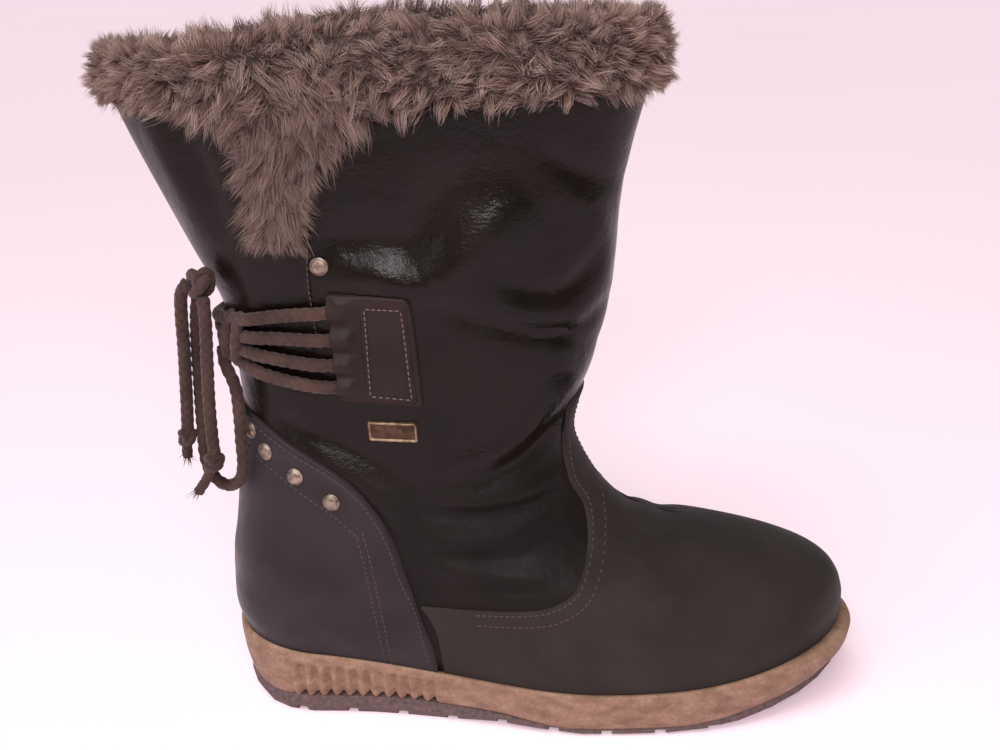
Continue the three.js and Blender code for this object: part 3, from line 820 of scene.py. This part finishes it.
def quad_patch(corners, rows, columns, inner):
    """A grid over a four-cornered outline of the side view: turn, v, and its x and z."""
    a, b, c, d = (np.array(corner, float) for corner in corners)
    t = np.linspace(0, 1, columns)[None, :, None]
    u = np.linspace(0, 1, rows)[:, None, None]
    at = mix(mix(a, b, t), mix(d, c, t), u)
    turn, v = find(at[..., 0], at[..., 1], inner)
    return turn, v, at[..., 0], at[..., 1]


def box_inside(x, z, corners, round_by):
    """How far (x, z) is inside a four-cornered outline with rounded corners."""
    closed = [*corners, corners[0]]
    sides = []
    for (ax, az), (bx, bz) in zip(closed, closed[1:]):
        length = math.hypot(bx - ax, bz - az)
        sides.append(((bx - ax) * (z - az) - (bz - az) * (x - ax)) / length)
    near = np.sort(np.stack(sides), axis=0)
    one = np.clip(round_by - near[0], 0, None)
    other = np.clip(round_by - near[1], 0, None)
    return np.where(near[0] > round_by, near[0], round_by - np.hypot(one, other))


TAB_PATCH = ((33, 161), (54, 159.5), (51.5, 203), (33, 203.5))
TAB_LOOK = {"thick": 1.5, "edge": 1.3, "corner": 3.5, "patch": 1.0, "leather": 1.4}
TAB_REAR = {"overhang": 3, "folded": 6}  # how far its rear edge, and its fold, lie behind the tab
TAB_GROOVE = {"depth": 0.35, "at": 2.3, "width": 0.7}  # round the patch
TAB_SEAM = {"line": [(24, 204.5), (53.5, 202.8)], "height": 0.7, "width": 1.3}
OVER_BARS = {"least": 0.6, "more": 3.4, "width": 4.5, "behind": 34, "over": 9}


def tab_outline(back):
    """The tab's corners, with the rear ones moved back."""
    (low_x, low_z), front_low, front_top, (top_x, top_z) = TAB
    return (low_x - back, low_z), front_low, front_top, (top_x - back, top_z)


def add_tab(inner):
    name = "inner" if inner else "outer"
    turn, v, x, z = quad_patch(tab_outline(TAB_REAR["overhang"]), 96, 76, inner)
    inside = box_inside(x, z, tab_outline(TAB_REAR["folded"]), TAB_LOOK["corner"])
    height = rounded_height(inside, TAB_LOOK["thick"], TAB_LOOK["edge"])
    on_patch = box_inside(x, z, TAB_PATCH, 2.0)
    height = height + TAB_LOOK["patch"] * ease(on_patch / 1.2 + 0.5)
    from_groove = (on_patch - TAB_GROOVE["at"]) / TAB_GROOVE["width"]
    height = height - TAB_GROOVE["depth"] * np.exp(-(from_groove ** 2))
    far, _, _ = line_distance(x, z, TAB_SEAM["line"])
    seam = TAB_SEAM["height"] * np.exp(-((far / TAB_SEAM["width"]) ** 2)) * (on_patch < 0)
    over = np.max([np.exp(-(((z - bar["atTab"]) / OVER_BARS["width"]) ** 2)) for bar in BARS], axis=0)
    lift = OVER_BARS["least"] + OVER_BARS["more"] * over
    height = height + seam + lift * ease((OVER_BARS["behind"] - x) / OVER_BARS["over"])
    under_edge = moved(turn[:, :1], v[:, :1], height[:, :1] - TAB_LOOK["leather"])
    points = np.concatenate([under_edge, moved(turn, v, height)], axis=1)
    faces = grid_faces(*points.shape[:2], flip=inner)
    add_piece(f"tab_{name}", points, faces, TAB_LEATHER, "shaft_leather", f"lace_tab_{name}")


add_tab(False)
add_tab(True)

PLATE = ((32.5, 142), (53.5, 141.5), (53, 150.5), (32, 151))
PLATE_FRAME = {"thick": 1.5, "edge": 0.5, "corner": 1.0, "wide": 1.0, "sunk": 0.7, "over": 0.4}
PLATE_FIELD = {"share": np.array([0.9, 0.76]), "thick": 0.95, "edge": 0.3, "corner": 0.6}


def add_plate():
    """A frame with its middle pressed in, and the darker field that fills it."""
    turn, v, x, z = quad_patch(PLATE, 48, 96, False)
    inside = box_inside(x, z, PLATE, PLATE_FRAME["corner"])
    height = rounded_height(inside, PLATE_FRAME["thick"], PLATE_FRAME["edge"])
    height = height - PLATE_FRAME["sunk"] * ease((inside - PLATE_FRAME["wide"]) / PLATE_FRAME["over"])
    faces = grid_faces(*turn.shape)
    add_piece("plate_frame", moved(turn, v, height), faces, PLATE_BRASS, "aged_brass", "side_plate")
    centre = np.mean(PLATE, axis=0)
    field = [tuple(centre + (np.array(corner) - centre) * PLATE_FIELD["share"]) for corner in PLATE]
    turn, v, x, z = quad_patch(field, 24, 60, False)
    inside = box_inside(x, z, field, PLATE_FIELD["corner"])
    height = rounded_height(inside, PLATE_FIELD["thick"], PLATE_FIELD["edge"])
    faces = grid_faces(*turn.shape)
    add_piece("plate_field", moved(turn, v, height), faces, PLATE_DARK, "aged_brass", "side_plate")


add_plate()

# ---- Studs ----
STUD = {"radius": 3.8, "height": 1.8, "sides": 36}
STUD_PROFILE = (
    (0, 1), (0.35, 0.96), (0.62, 0.84), (0.8, 0.6), (0.86, 0.38), (0.9, 0.32), (1, 0.28), (1, -0.2),
)
COUNTER_STUDS = ((14, 113), (-1, 124), (-14, 133), (-21, 140.5))
SHAFT_STUD = (18, 219)
SHAFT_STUD_RAISED = 0.4


def add_stud(name, x, z, inner, under):
    turn, v = find(x, z, inner)
    foot = moved(turn, v, under)
    facing = normal(turn, v)
    across = unit(np.cross(facing, [0, 0, 1.0]))
    lift = np.cross(facing, across)
    angle = full_turn(STUD["sides"])
    circle = np.cos(angle)[:, None] * across + np.sin(angle)[:, None] * lift
    rings = []
    for out, up in STUD_PROFILE:
        rings.append(foot + max(out, 0.02) * STUD["radius"] * circle + up * STUD["height"] * facing)
    faces = grid_faces(len(rings), STUD["sides"], wrap=True, flip=True)
    faces.append(tuple(range(STUD["sides"])))
    add_piece(f"{name}_dome", rings, faces, BRASS, "aged_brass", name)


for i, (stud_x, stud_z) in enumerate(COUNTER_STUDS):
    add_stud(f"stud_outer_{i + 1}", stud_x, stud_z, False, COUNTER["thick"])
    add_stud(f"stud_inner_{i + 1}", stud_x, stud_z, True, COUNTER["thick"])
add_stud("stud_shaft", *SHAFT_STUD, False, SHAFT_STUD_RAISED)

# ---- Stitching ----
STITCH = {"pitch": 2.6, "length": 1.9, "radius": 0.4, "sides": 6}
STITCH_PROFILE = ((-0.5, 0.2), (-0.3, 0.9), (0.3, 0.9), (0.5, 0.2))  # along its length, and its width


def shifted(line, by):
    """A line of the side view moved sideways: to its left where by is above 0."""
    line = smooth_line(line, 1.0)
    ahead = unit(np.gradient(line, axis=0))
    return line + by * np.stack([-ahead[:, 1], ahead[:, 0]], -1)


def stitch_row(line, inner, height):
    """Small raised stitches along a line of the side view."""
    line = smooth_line(line, STITCH["pitch"])
    turn, v = find(line[:, 0], line[:, 1], inner)
    at = moved(turn, v, height)
    facing = normal(turn, v)
    ahead = unit(np.gradient(at, axis=0))
    across = unit(np.cross(facing, ahead))
    ring = full_turn(STITCH["sides"])
    faces = grid_faces(len(STITCH_PROFILE), STITCH["sides"], wrap=True)
    parts = []
    for place, out, forward, side in zip(at, facing, ahead, across):
        circle = np.cos(ring)[:, None] * side + np.sin(ring)[:, None] * out
        rows = []
        for along, wide in STITCH_PROFILE:
            rows.append(place + along * STITCH["length"] * forward + wide * STITCH["radius"] * circle)
        parts.append((np.vstack(rows), faces))
    return join_parts(parts)


def add_stitches(name, lines, height, thread, slot):
    """One piece for each side, with several rows."""
    for inner in (False, True):
        points, faces = join_parts([stitch_row(line, inner, height) for line in lines])
        add_piece(f"{name}_{'inner' if inner else 'outer'}", points, faces, thread, slot)


COUNTER_TOP = [(55, 34), (50, 62), *COUNTER_EDGE[3:-1]]
STRAP_LINE = [(-30, 136), (-15, 127), (-7, 122), (4, 114), (16, 105), (25, 96)]
BACK_ROW = [(27, 98), (29, 88), (30.5, 76), (32.5, 56), (35, 30)]
VAMP_TOP = VAMP_EDGE[2:-1]
TAB_ROWS = [
    [(36.5, 163), (50.5, 161.8)], [(52, 163.4), (49.9, 199.4)], [(48.4, 201.1), (36.5, 201.4)],
    [(35, 199.8), (35, 164.6)],
]
SEAMS = (
    ("counter_edge", [shifted(COUNTER_TOP, 3)], COUNTER["thick"], DARK_THREAD, "counter_leather"),
    ("counter_inner", [STRAP_LINE, BACK_ROW, shifted(BACK_ROW, -3.2)], COUNTER["thick"], DARK_THREAD,
     "counter_leather"),
    ("vamp", [shifted(VAMP_TOP, -2.0), shifted(VAMP_TOP, -7.5)], VAMP["thick"], DARK_THREAD, "nubuck"),
    ("tab", TAB_ROWS, TAB_LOOK["thick"] + TAB_LOOK["patch"] - 0.1, THREAD, "shaft_leather"),
    ("panel", [shifted(PANEL_EDGE[1:5], 2.2)], PANEL["step"], DARK_THREAD, "shaft_leather"),
)
for seam_name, seam_lines, seam_height, seam_thread, seam_slot in SEAMS:
    add_stitches(f"{seam_name}_stitches", seam_lines, seam_height, seam_thread, seam_slot)

# ---- Sole ----
HEEL_FLAT = {"from": -20, "to": 52}
FORE_FLAT = {"from": 118, "to": 160}
ARCH_RISE = 2
TOE_TIP = 250
TOE_SPRING = 19
HEEL_TIP = -40
HEEL_BEVEL = 6
TREAD_THICK = {"heel": 10, "fore": 3.5, "toe": 6}
TREAD_THINS = {"from": 40, "over": 75}
TREAD_THICKENS = {"from": 150, "over": 60}
TOE_BUMPER = {"from": 190, "to": 240, "out": 4}
RIM_DEPTH = 4


def underside(x):
    heel = HEEL_BEVEL * (np.clip(HEEL_FLAT["from"] - x, 0, None) / (HEEL_FLAT["from"] - HEEL_TIP)) ** 2
    toe = TOE_SPRING * (np.clip(x - FORE_FLAT["to"], 0, None) / (TOE_TIP - FORE_FLAT["to"])) ** 2
    t = np.clip((x - HEEL_FLAT["to"]) / (FORE_FLAT["from"] - HEEL_FLAT["to"]), 0, 1)
    return heel + toe + ARCH_RISE * np.sin(math.pi * t) ** 2


def tread_top(x):
    thins = ease((x - TREAD_THINS["from"]) / TREAD_THINS["over"])
    thickens = ease((x - TREAD_THICKENS["from"]) / TREAD_THICKENS["over"])
    fore = mix(TREAD_THICK["heel"], TREAD_THICK["fore"], thins)
    return underside(x) + mix(fore, TREAD_THICK["toe"], thickens)


def outline(turn, out, bumper=0):
    """The sole's outline moved out sideways, and the height of the upper's edge there."""
    flat = normal(turn, 0) * np.array([1, 1, 0])
    edge = skin(turn, 0)
    roll = ease((edge[..., 0] - TOE_BUMPER["from"]) / (TOE_BUMPER["to"] - TOE_BUMPER["from"]))
    place = edge + unit(flat) * (out + bumper * roll * TOE_BUMPER["out"])[..., None]
    return place, edge[..., 2]


# The gum wall, from the tread up: how far it stands out, and its share of the toe's bumper.
WALL_LEVEL = np.array([0, 0.08, 0.35, 0.75, 0.94, 1.0])
WALL_OUT = np.array([0.5, 1.5, 2.8, 3.6, 3.5, 3.0])
WALL_BUMPER = np.array([0.3, 0.5, 1, 1, 0.8, 0.6])
RIB = {"from": -14, "to": 56, "ends": 2, "pitch": 6.1, "depth": 2.8, "swell": 0.5, "top": 0.8, "fade": 0.12}
SCALLOP = {"height": 1.2, "top": 0.3}  # of the wall's foot, between the ribs
RIM_INSIDE = {"out": 0.35, "drop": 0.2, "foot": 1}
GUM_INSIDE = -4.0
SOLE = {"around": 560, "levels": 34}


def add_gum():
    turn = full_turn(SOLE["around"])[None, :]
    level = np.linspace(0, 1, SOLE["levels"])[:, None]
    bumper = np.interp(level, WALL_LEVEL, WALL_BUMPER)
    x = skin(turn, 0)[..., 0]
    ribbed = ease((x - RIB["from"]) / RIB["ends"]) * ease((RIB["to"] - x) / RIB["ends"])
    wave = 0.5 - 0.5 * np.cos(2 * math.pi * (x - RIB["from"]) / RIB["pitch"])
    groove = 1 - np.sqrt(wave)
    band = ribbed * ease((RIB["top"] - level) / RIB["fade"])
    out = np.interp(level, WALL_LEVEL, WALL_OUT) - RIB["depth"] * band * groove + RIB["swell"] * band * wave
    place, base = outline(np.broadcast_to(turn, out.shape), out, bumper)
    low = tread_top(place[..., 0]) + GAP
    scallop = SCALLOP["height"] * ribbed * groove * (1 - ease(level / SCALLOP["top"]))
    place[..., 2] = mix(low, base + RIM_DEPTH, level) + scallop
    rim, rim_base = outline(turn, RIM_INSIDE["out"])
    rows = [place]
    for height in (rim_base + RIM_DEPTH - RIM_INSIDE["drop"], rim_base + RIM_INSIDE["foot"], rim_base - GAP):
        rows.append(np.concatenate([rim[..., :2], height[..., None]], axis=-1))
    under, under_base = outline(turn, GUM_INSIDE)
    for height in (under_base - GAP, tread_top(under[..., 0]) + GAP):
        rows.append(np.concatenate([under[..., :2], height[..., None]], axis=-1))
    points = np.vstack(rows)
    faces = grid_faces(len(points), SOLE["around"], wrap=True, closed=True)
    add_piece("gum_wall", points, faces, GUM, "gum_rubber", "midsole")


add_gum()
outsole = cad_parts["outsole"]
outsole.data.materials.clear()
outsole.data.materials.append(TREAD)

INSOLE = {"around": 140, "rows": 16, "thick": 4.5, "crown": 1.5, "gap": 0.3, "nap": 0.25}


def add_insole():
    turn = np.broadcast_to(full_turn(INSOLE["around"]), (INSOLE["rows"], INSOLE["around"]))
    points, base = outline(turn, -(WALL + GAP + INSOLE["gap"]))
    share = np.linspace(1, 0, INSOLE["rows"])[:, None]
    points[..., 1] = mix(points[..., 1].mean(axis=1, keepdims=True), points[..., 1], share)
    crown = INSOLE["thick"] - INSOLE["crown"] + INSOLE["crown"] * np.sqrt(1 - share ** 8)
    points[..., 2] = base + crown + INSOLE["nap"] * rng.normal(size=points.shape[:2])
    faces = grid_faces(INSOLE["rows"], INSOLE["around"], wrap=True)
    add_piece("fleece_insole", points, faces, FLEECE, "lining", "insole")


add_insole()

# ---- Fur ----
# The collar's section, as distances outwards from the leather and up from its top edge.
COLLAR_SECTION = np.array([
    (0.8, -1), (4, -2), (7, 8), (6.5, 18), (2, 27), (-4, 25), (-8, 13), (-7, 1.6),
])
# The collar is smaller at the back, and grows over this part of the way to the front.
BACK_SHARE = {"out": 0.4, "up": 0.66}
GROWS = {"from": 0.15, "over": 0.3}
CORE = {"out": 0.7, "up": 0.88, "around": 220, "rows": 26, "bumps": 0.6}  # under the hairs


def collar_point(turn, share):
    """A point of the collar's core; share runs round its section from the outside in."""
    at = share * (len(COLLAR_SECTION) - 1)
    knots = np.arange(len(COLLAR_SECTION))
    out = np.interp(at, knots, COLLAR_SECTION[:, 0])
    up = np.interp(at, knots, COLLAR_SECTION[:, 1])
    side = unit(normal(turn, 1) * np.array([1, 1, 0]))
    ahead = ease(((1 - np.cos(turn)) / 2 - GROWS["from"]) / GROWS["over"])
    out = np.where(out > 1, out * mix(BACK_SHARE["out"], 1, ahead), out) * CORE["out"]
    up = np.where(up > 2, up * mix(BACK_SHARE["up"], 1, ahead), up) * CORE["up"]
    place = skin(turn, 1) + side * out[..., None]
    place[..., 2] += up
    return place


def collar_frame(turn, share):
    """The core's points, its outward normals, and the way along the collar."""
    turn_step = 0.01
    share_step = 0.03
    ahead = collar_point(turn, np.clip(share + share_step, 0, 1))
    back = collar_point(turn, np.clip(share - share_step, 0, 1))
    along = unit(collar_point(turn + turn_step, share) - collar_point(turn - turn_step, share))
    return collar_point(turn, share), unit(np.cross(along, unit(ahead - back))), along


def add_collar_core():
    turn, share = np.broadcast_arrays(full_turn(CORE["around"]), np.linspace(0, 1, CORE["rows"])[:, None])
    place, facing, _ = collar_frame(turn, share)
    bumpy = CORE["bumps"] * np.sin(23 * turn + 9 * share) * np.sin(31 * turn - 5 * share)
    faces = grid_faces(CORE["rows"], CORE["around"], wrap=True, closed=True)
    add_piece("collar_core", place + facing * bumpy[..., None], faces, FUR_BASE, "fur", "fur_collar")


add_collar_core()

# The tail's two sides, from its point up to the collar, as x for each z.
TAIL_Z = np.array([230, 240, 250, 258, 266, 272, 278, 286])
TAIL_REAR = np.array([-3, -6, -7, -8, -9, -12, -24, -48])
TAIL_FRONT = np.array([9, 11, 14, 18, 24, 32, 42, 52])
TAIL_BASE = {"rows": 60, "columns": 50, "low": 230, "high": 285, "sunk": 0.5, "raised": 2.6, "point": 6}


def tail_point(across, z, out):
    x = mix(np.interp(z, TAIL_Z, TAIL_REAR), np.interp(z, TAIL_Z, TAIL_FRONT), across)
    turn, v = find(x, z)
    return moved(turn, v, out), normal(turn, v)


def add_tail_base():
    across = np.linspace(0, 1, TAIL_BASE["columns"])[None, :]
    z = np.linspace(TAIL_BASE["low"], TAIL_BASE["high"], TAIL_BASE["rows"])[:, None]
    rim = np.minimum(np.minimum(across, 1 - across) * 4, (z - TAIL_BASE["low"]) / TAIL_BASE["point"])
    out = TAIL_BASE["raised"] * np.sqrt(np.clip(rim, 0, 1)) - TAIL_BASE["sunk"]
    points, _ = tail_point(across, z, out)
    add_piece("tail_base", points, grid_faces(*out.shape), FUR_BASE, "fur", "fur_collar")


add_tail_base()

HAIR = {
    "width": 0.3, "stops": np.array([0, 0.4, 0.75, 1.0]), "widths": np.array([1.0, 0.85, 0.55, 0]),
    "clump": 34, "gather": 0.72, "stray": 0.3, "clump_stray": 0.6, "curl": 0.12,
}


def add_hair(name, roots, ahead, length, droop, darkest=0.0):
    """Tapered strips of hair, gathered into clumps; droop bends them as they run."""
    count = len(roots)
    centres = roots[rng.permutation(count)[:count // HAIR["clump"]]]
    tree = KDTree(len(centres))
    for i, centre in enumerate(centres):
        tree.insert(centre, i)
    tree.balance()
    clump = np.array([tree.find(root)[1] for root in roots])
    sums = np.zeros((len(centres), 3))
    np.add.at(sums, clump, ahead)
    stray = HAIR["clump_stray"] * unit(rng.normal(size=sums.shape))
    clump_ahead = unit(sums + stray * np.linalg.norm(sums, axis=1)[:, None])[clump][:, None]
    reach = (rng.uniform(0.75, 1.15, len(centres))[clump] * length)[:, None, None]
    bend = (unit(rng.normal(size=(len(centres), 3))) * HAIR["clump_stray"])[clump] + droop
    own = unit(ahead + HAIR["stray"] * rng.normal(size=ahead.shape))
    stops = HAIR["stops"][None, :, None]
    bent = 0.5 * stops ** 2 * bend[:, None]
    curl = HAIR["curl"] * np.sin(stops * 5 + rng.uniform(0, 6.3, (count, 1, 1)))
    curl = curl * unit(rng.normal(size=(count, 1, 3)))
    line = roots[:, None] + reach * (stops * own[:, None] + bent + curl * stops)
    goal = centres[clump][:, None] + reach * (stops * clump_ahead + bent)
    line = mix(line, goal, HAIR["gather"] * stops ** 1.3)
    side = unit(np.cross(own, rng.normal(size=own.shape)))[:, None]
    wide = HAIR["width"] * HAIR["widths"][None, :, None] / 2
    points = np.concatenate([(line + side * wide)[:, :3], (line - side * wide)[:, :3], line[:, 3:]], axis=1)
    # The pile's colour: red is the share of the hair's length, green and blue how dark it is.
    pile = np.ones((count, 7, 4))
    pile[..., 0] = [0, 0.4, 0.75, 0, 0.4, 0.75, 1.0]
    pile[..., 1] = mix(darkest, 1, rng.uniform(0, 1, count))[:, None]
    pile[..., 2] = mix(darkest, 1, rng.uniform(0, 1, len(centres)))[clump][:, None]
    start = (np.arange(count) * 7)[:, None]
    quads = np.concatenate([start + [0, 1, 4, 3], start + [1, 2, 5, 4]])
    faces = quads.tolist() + (start + [2, 6, 5]).tolist()
    add_piece(name, points, faces, FUR, "fur", "fur_collar", pile=pile)


DOWN = np.array([0, 0, -1.0])
COLLAR_HAIRS = 19500  # in each of the collar's four quarters
TAIL_HAIRS = 10500
NEAR_TAIL = {"x": 20, "reach": 42, "longer": 0.35}
TAIL_FUR = {"low": 231, "high": 287, "margin": 0.03, "out": 0.3, "raised": 1.8, "darkest": 0.6}


def add_collar_fur(name, start):
    turn = start + rng.uniform(0, math.pi / 2, COLLAR_HAIRS)
    share = rng.uniform(0.12, 0.94, COLLAR_HAIRS)
    roots, facing, along = collar_frame(turn, share)
    outside = np.clip(1 - share / 0.55, 0, 1)[:, None]
    off_tail = (roots[:, 0] - NEAR_TAIL["x"]) / NEAR_TAIL["reach"]
    near_tail = np.exp(-(off_tail ** 2)) * (roots[:, 1] < 0)
    falls = (0.25 + 0.9 * near_tail)[:, None]
    sway = 0.55 * (np.sin(5 * turn + 1) + np.sin(13 * turn + 9 * share))[:, None]
    sway = sway + 0.3 * rng.normal(size=(COLLAR_HAIRS, 1))
    ends = (np.abs(np.cos(turn)) ** 4)[:, None]  # 1 at the collar's front and back
    ahead = unit(facing * (1 - 0.55 * ends * outside) + outside * falls * DOWN + sway * along)
    length = rng.uniform(7, 13, COLLAR_HAIRS) * mix(0.9, 1.0, outside[:, 0]) * mix(1.0, 0.62, ends[:, 0])
    length *= 1 + NEAR_TAIL["longer"] * near_tail * outside[:, 0]
    add_hair(name, roots, ahead, length, 0.35 * falls * DOWN * outside)


for quarter in range(4):
    add_collar_fur(f"collar_fur_{quarter + 1}", quarter * math.pi / 2)


def add_tail_fur():
    z = mix(TAIL_FUR["low"], TAIL_FUR["high"], rng.uniform(0, 1, TAIL_HAIRS) ** 0.85)
    across = rng.uniform(TAIL_FUR["margin"], 1 - TAIL_FUR["margin"], TAIL_HAIRS)
    rim = np.clip(np.minimum(across, 1 - across) * 4, 0, 1)
    roots, facing = tail_point(across, z, TAIL_FUR["out"] + TAIL_FUR["raised"] * np.sqrt(rim))
    lean = (across - 0.45)[:, None] * np.array([1.6, 0, 0])
    ahead = unit(0.75 * facing + lean + 0.75 * DOWN + 0.25 * rng.normal(size=facing.shape))
    length = rng.uniform(7, 12, TAIL_HAIRS)
    add_hair("tail_fur", roots, ahead, length, 0.4 * DOWN, TAIL_FUR["darkest"])


add_tail_fur()

# ---- Floor and light ----
FLOOR = {"half": 12.0, "glow": 0.29}


def add_floor():
    look = Look("floor_look", Roughness=0.9, Specular_IOR_Level=0.1, Emission_Strength=FLOOR["glow"])
    look.shader.inputs["Emission Color"].default_value = srgb(252, 230, 240)
    look.set("Base Color", look.ramp(look.noise(900, 2), (0.3, (244, 224, 232)), (0.7, (246, 227, 235))))
    half = FLOOR["half"] / MM
    corners = [(-half, -half, 0), (half, -half, 0), (half, half, 0), (-half, half, 0)]
    floor = add_mesh("floor", corners, [(0, 1, 2, 3)], look.material)


add_floor()


LAMP_TINT = (1.0, 0.9, 0.93)
CEILING = {"from": (-0.28, -0.42, 1.0), "wide": 38, "power": 1.8}
SOFT_BOXES = (
    {"name": "key", "at": (0.14, -1.0, 0.8), "aim": (0.06, -0.03, 0.2), "size": (0.55, 0.2), "power": 8.6},
    {"name": "window", "at": (-0.65, -0.6, 0.5), "aim": (0.0, 0, 0.12), "size": (0.25, 0.4), "power": 1.1},
)
ROOM = {"on_things": 0.2, "behind": 0.97}  # the backdrop's light on things, and as it shows


def add_light(data, at, aim):
    light = bpy.data.objects.new(data.name, data)
    light.location = at
    light.rotation_euler = (Vector(aim) - Vector(at)).to_track_quat("-Z", "Y").to_euler()
    bpy.context.collection.objects.link(light)


def add_lights():
    """A broad soft light from above, the same over the whole floor, and two soft boxes."""
    data = bpy.data.lights.new("ceiling", "SUN")
    data.angle = math.radians(CEILING["wide"])
    data.energy = CEILING["power"]
    add_light(data, CEILING["from"], (0, 0, 0))
    for box in SOFT_BOXES:
        data = bpy.data.lights.new(box["name"], "AREA")
        data.shape = "RECTANGLE"
        data.size, data.size_y = box["size"]
        data.energy = box["power"]
        data.color = LAMP_TINT
        add_light(data, box["at"], box["aim"])


add_lights()


def add_room():
    world = bpy.data.worlds.new("soft_room")
    bpy.context.scene.world = world
    world.use_nodes = True
    nodes, links = world.node_tree.nodes, world.node_tree.links
    sky = nodes["Background"]
    sky.inputs["Color"].default_value = srgb(252, 238, 244)
    ray = nodes.new("ShaderNodeLightPath")
    strength = nodes.new("ShaderNodeMapRange")
    strength.inputs["To Min"].default_value = ROOM["on_things"]
    strength.inputs["To Max"].default_value = ROOM["behind"]
    links.new(ray.outputs["Is Camera Ray"], strength.inputs["Value"])
    links.new(strength.outputs["Result"], sky.inputs["Strength"])
    bpy.context.scene.view_settings.view_transform = "Standard"


add_room()
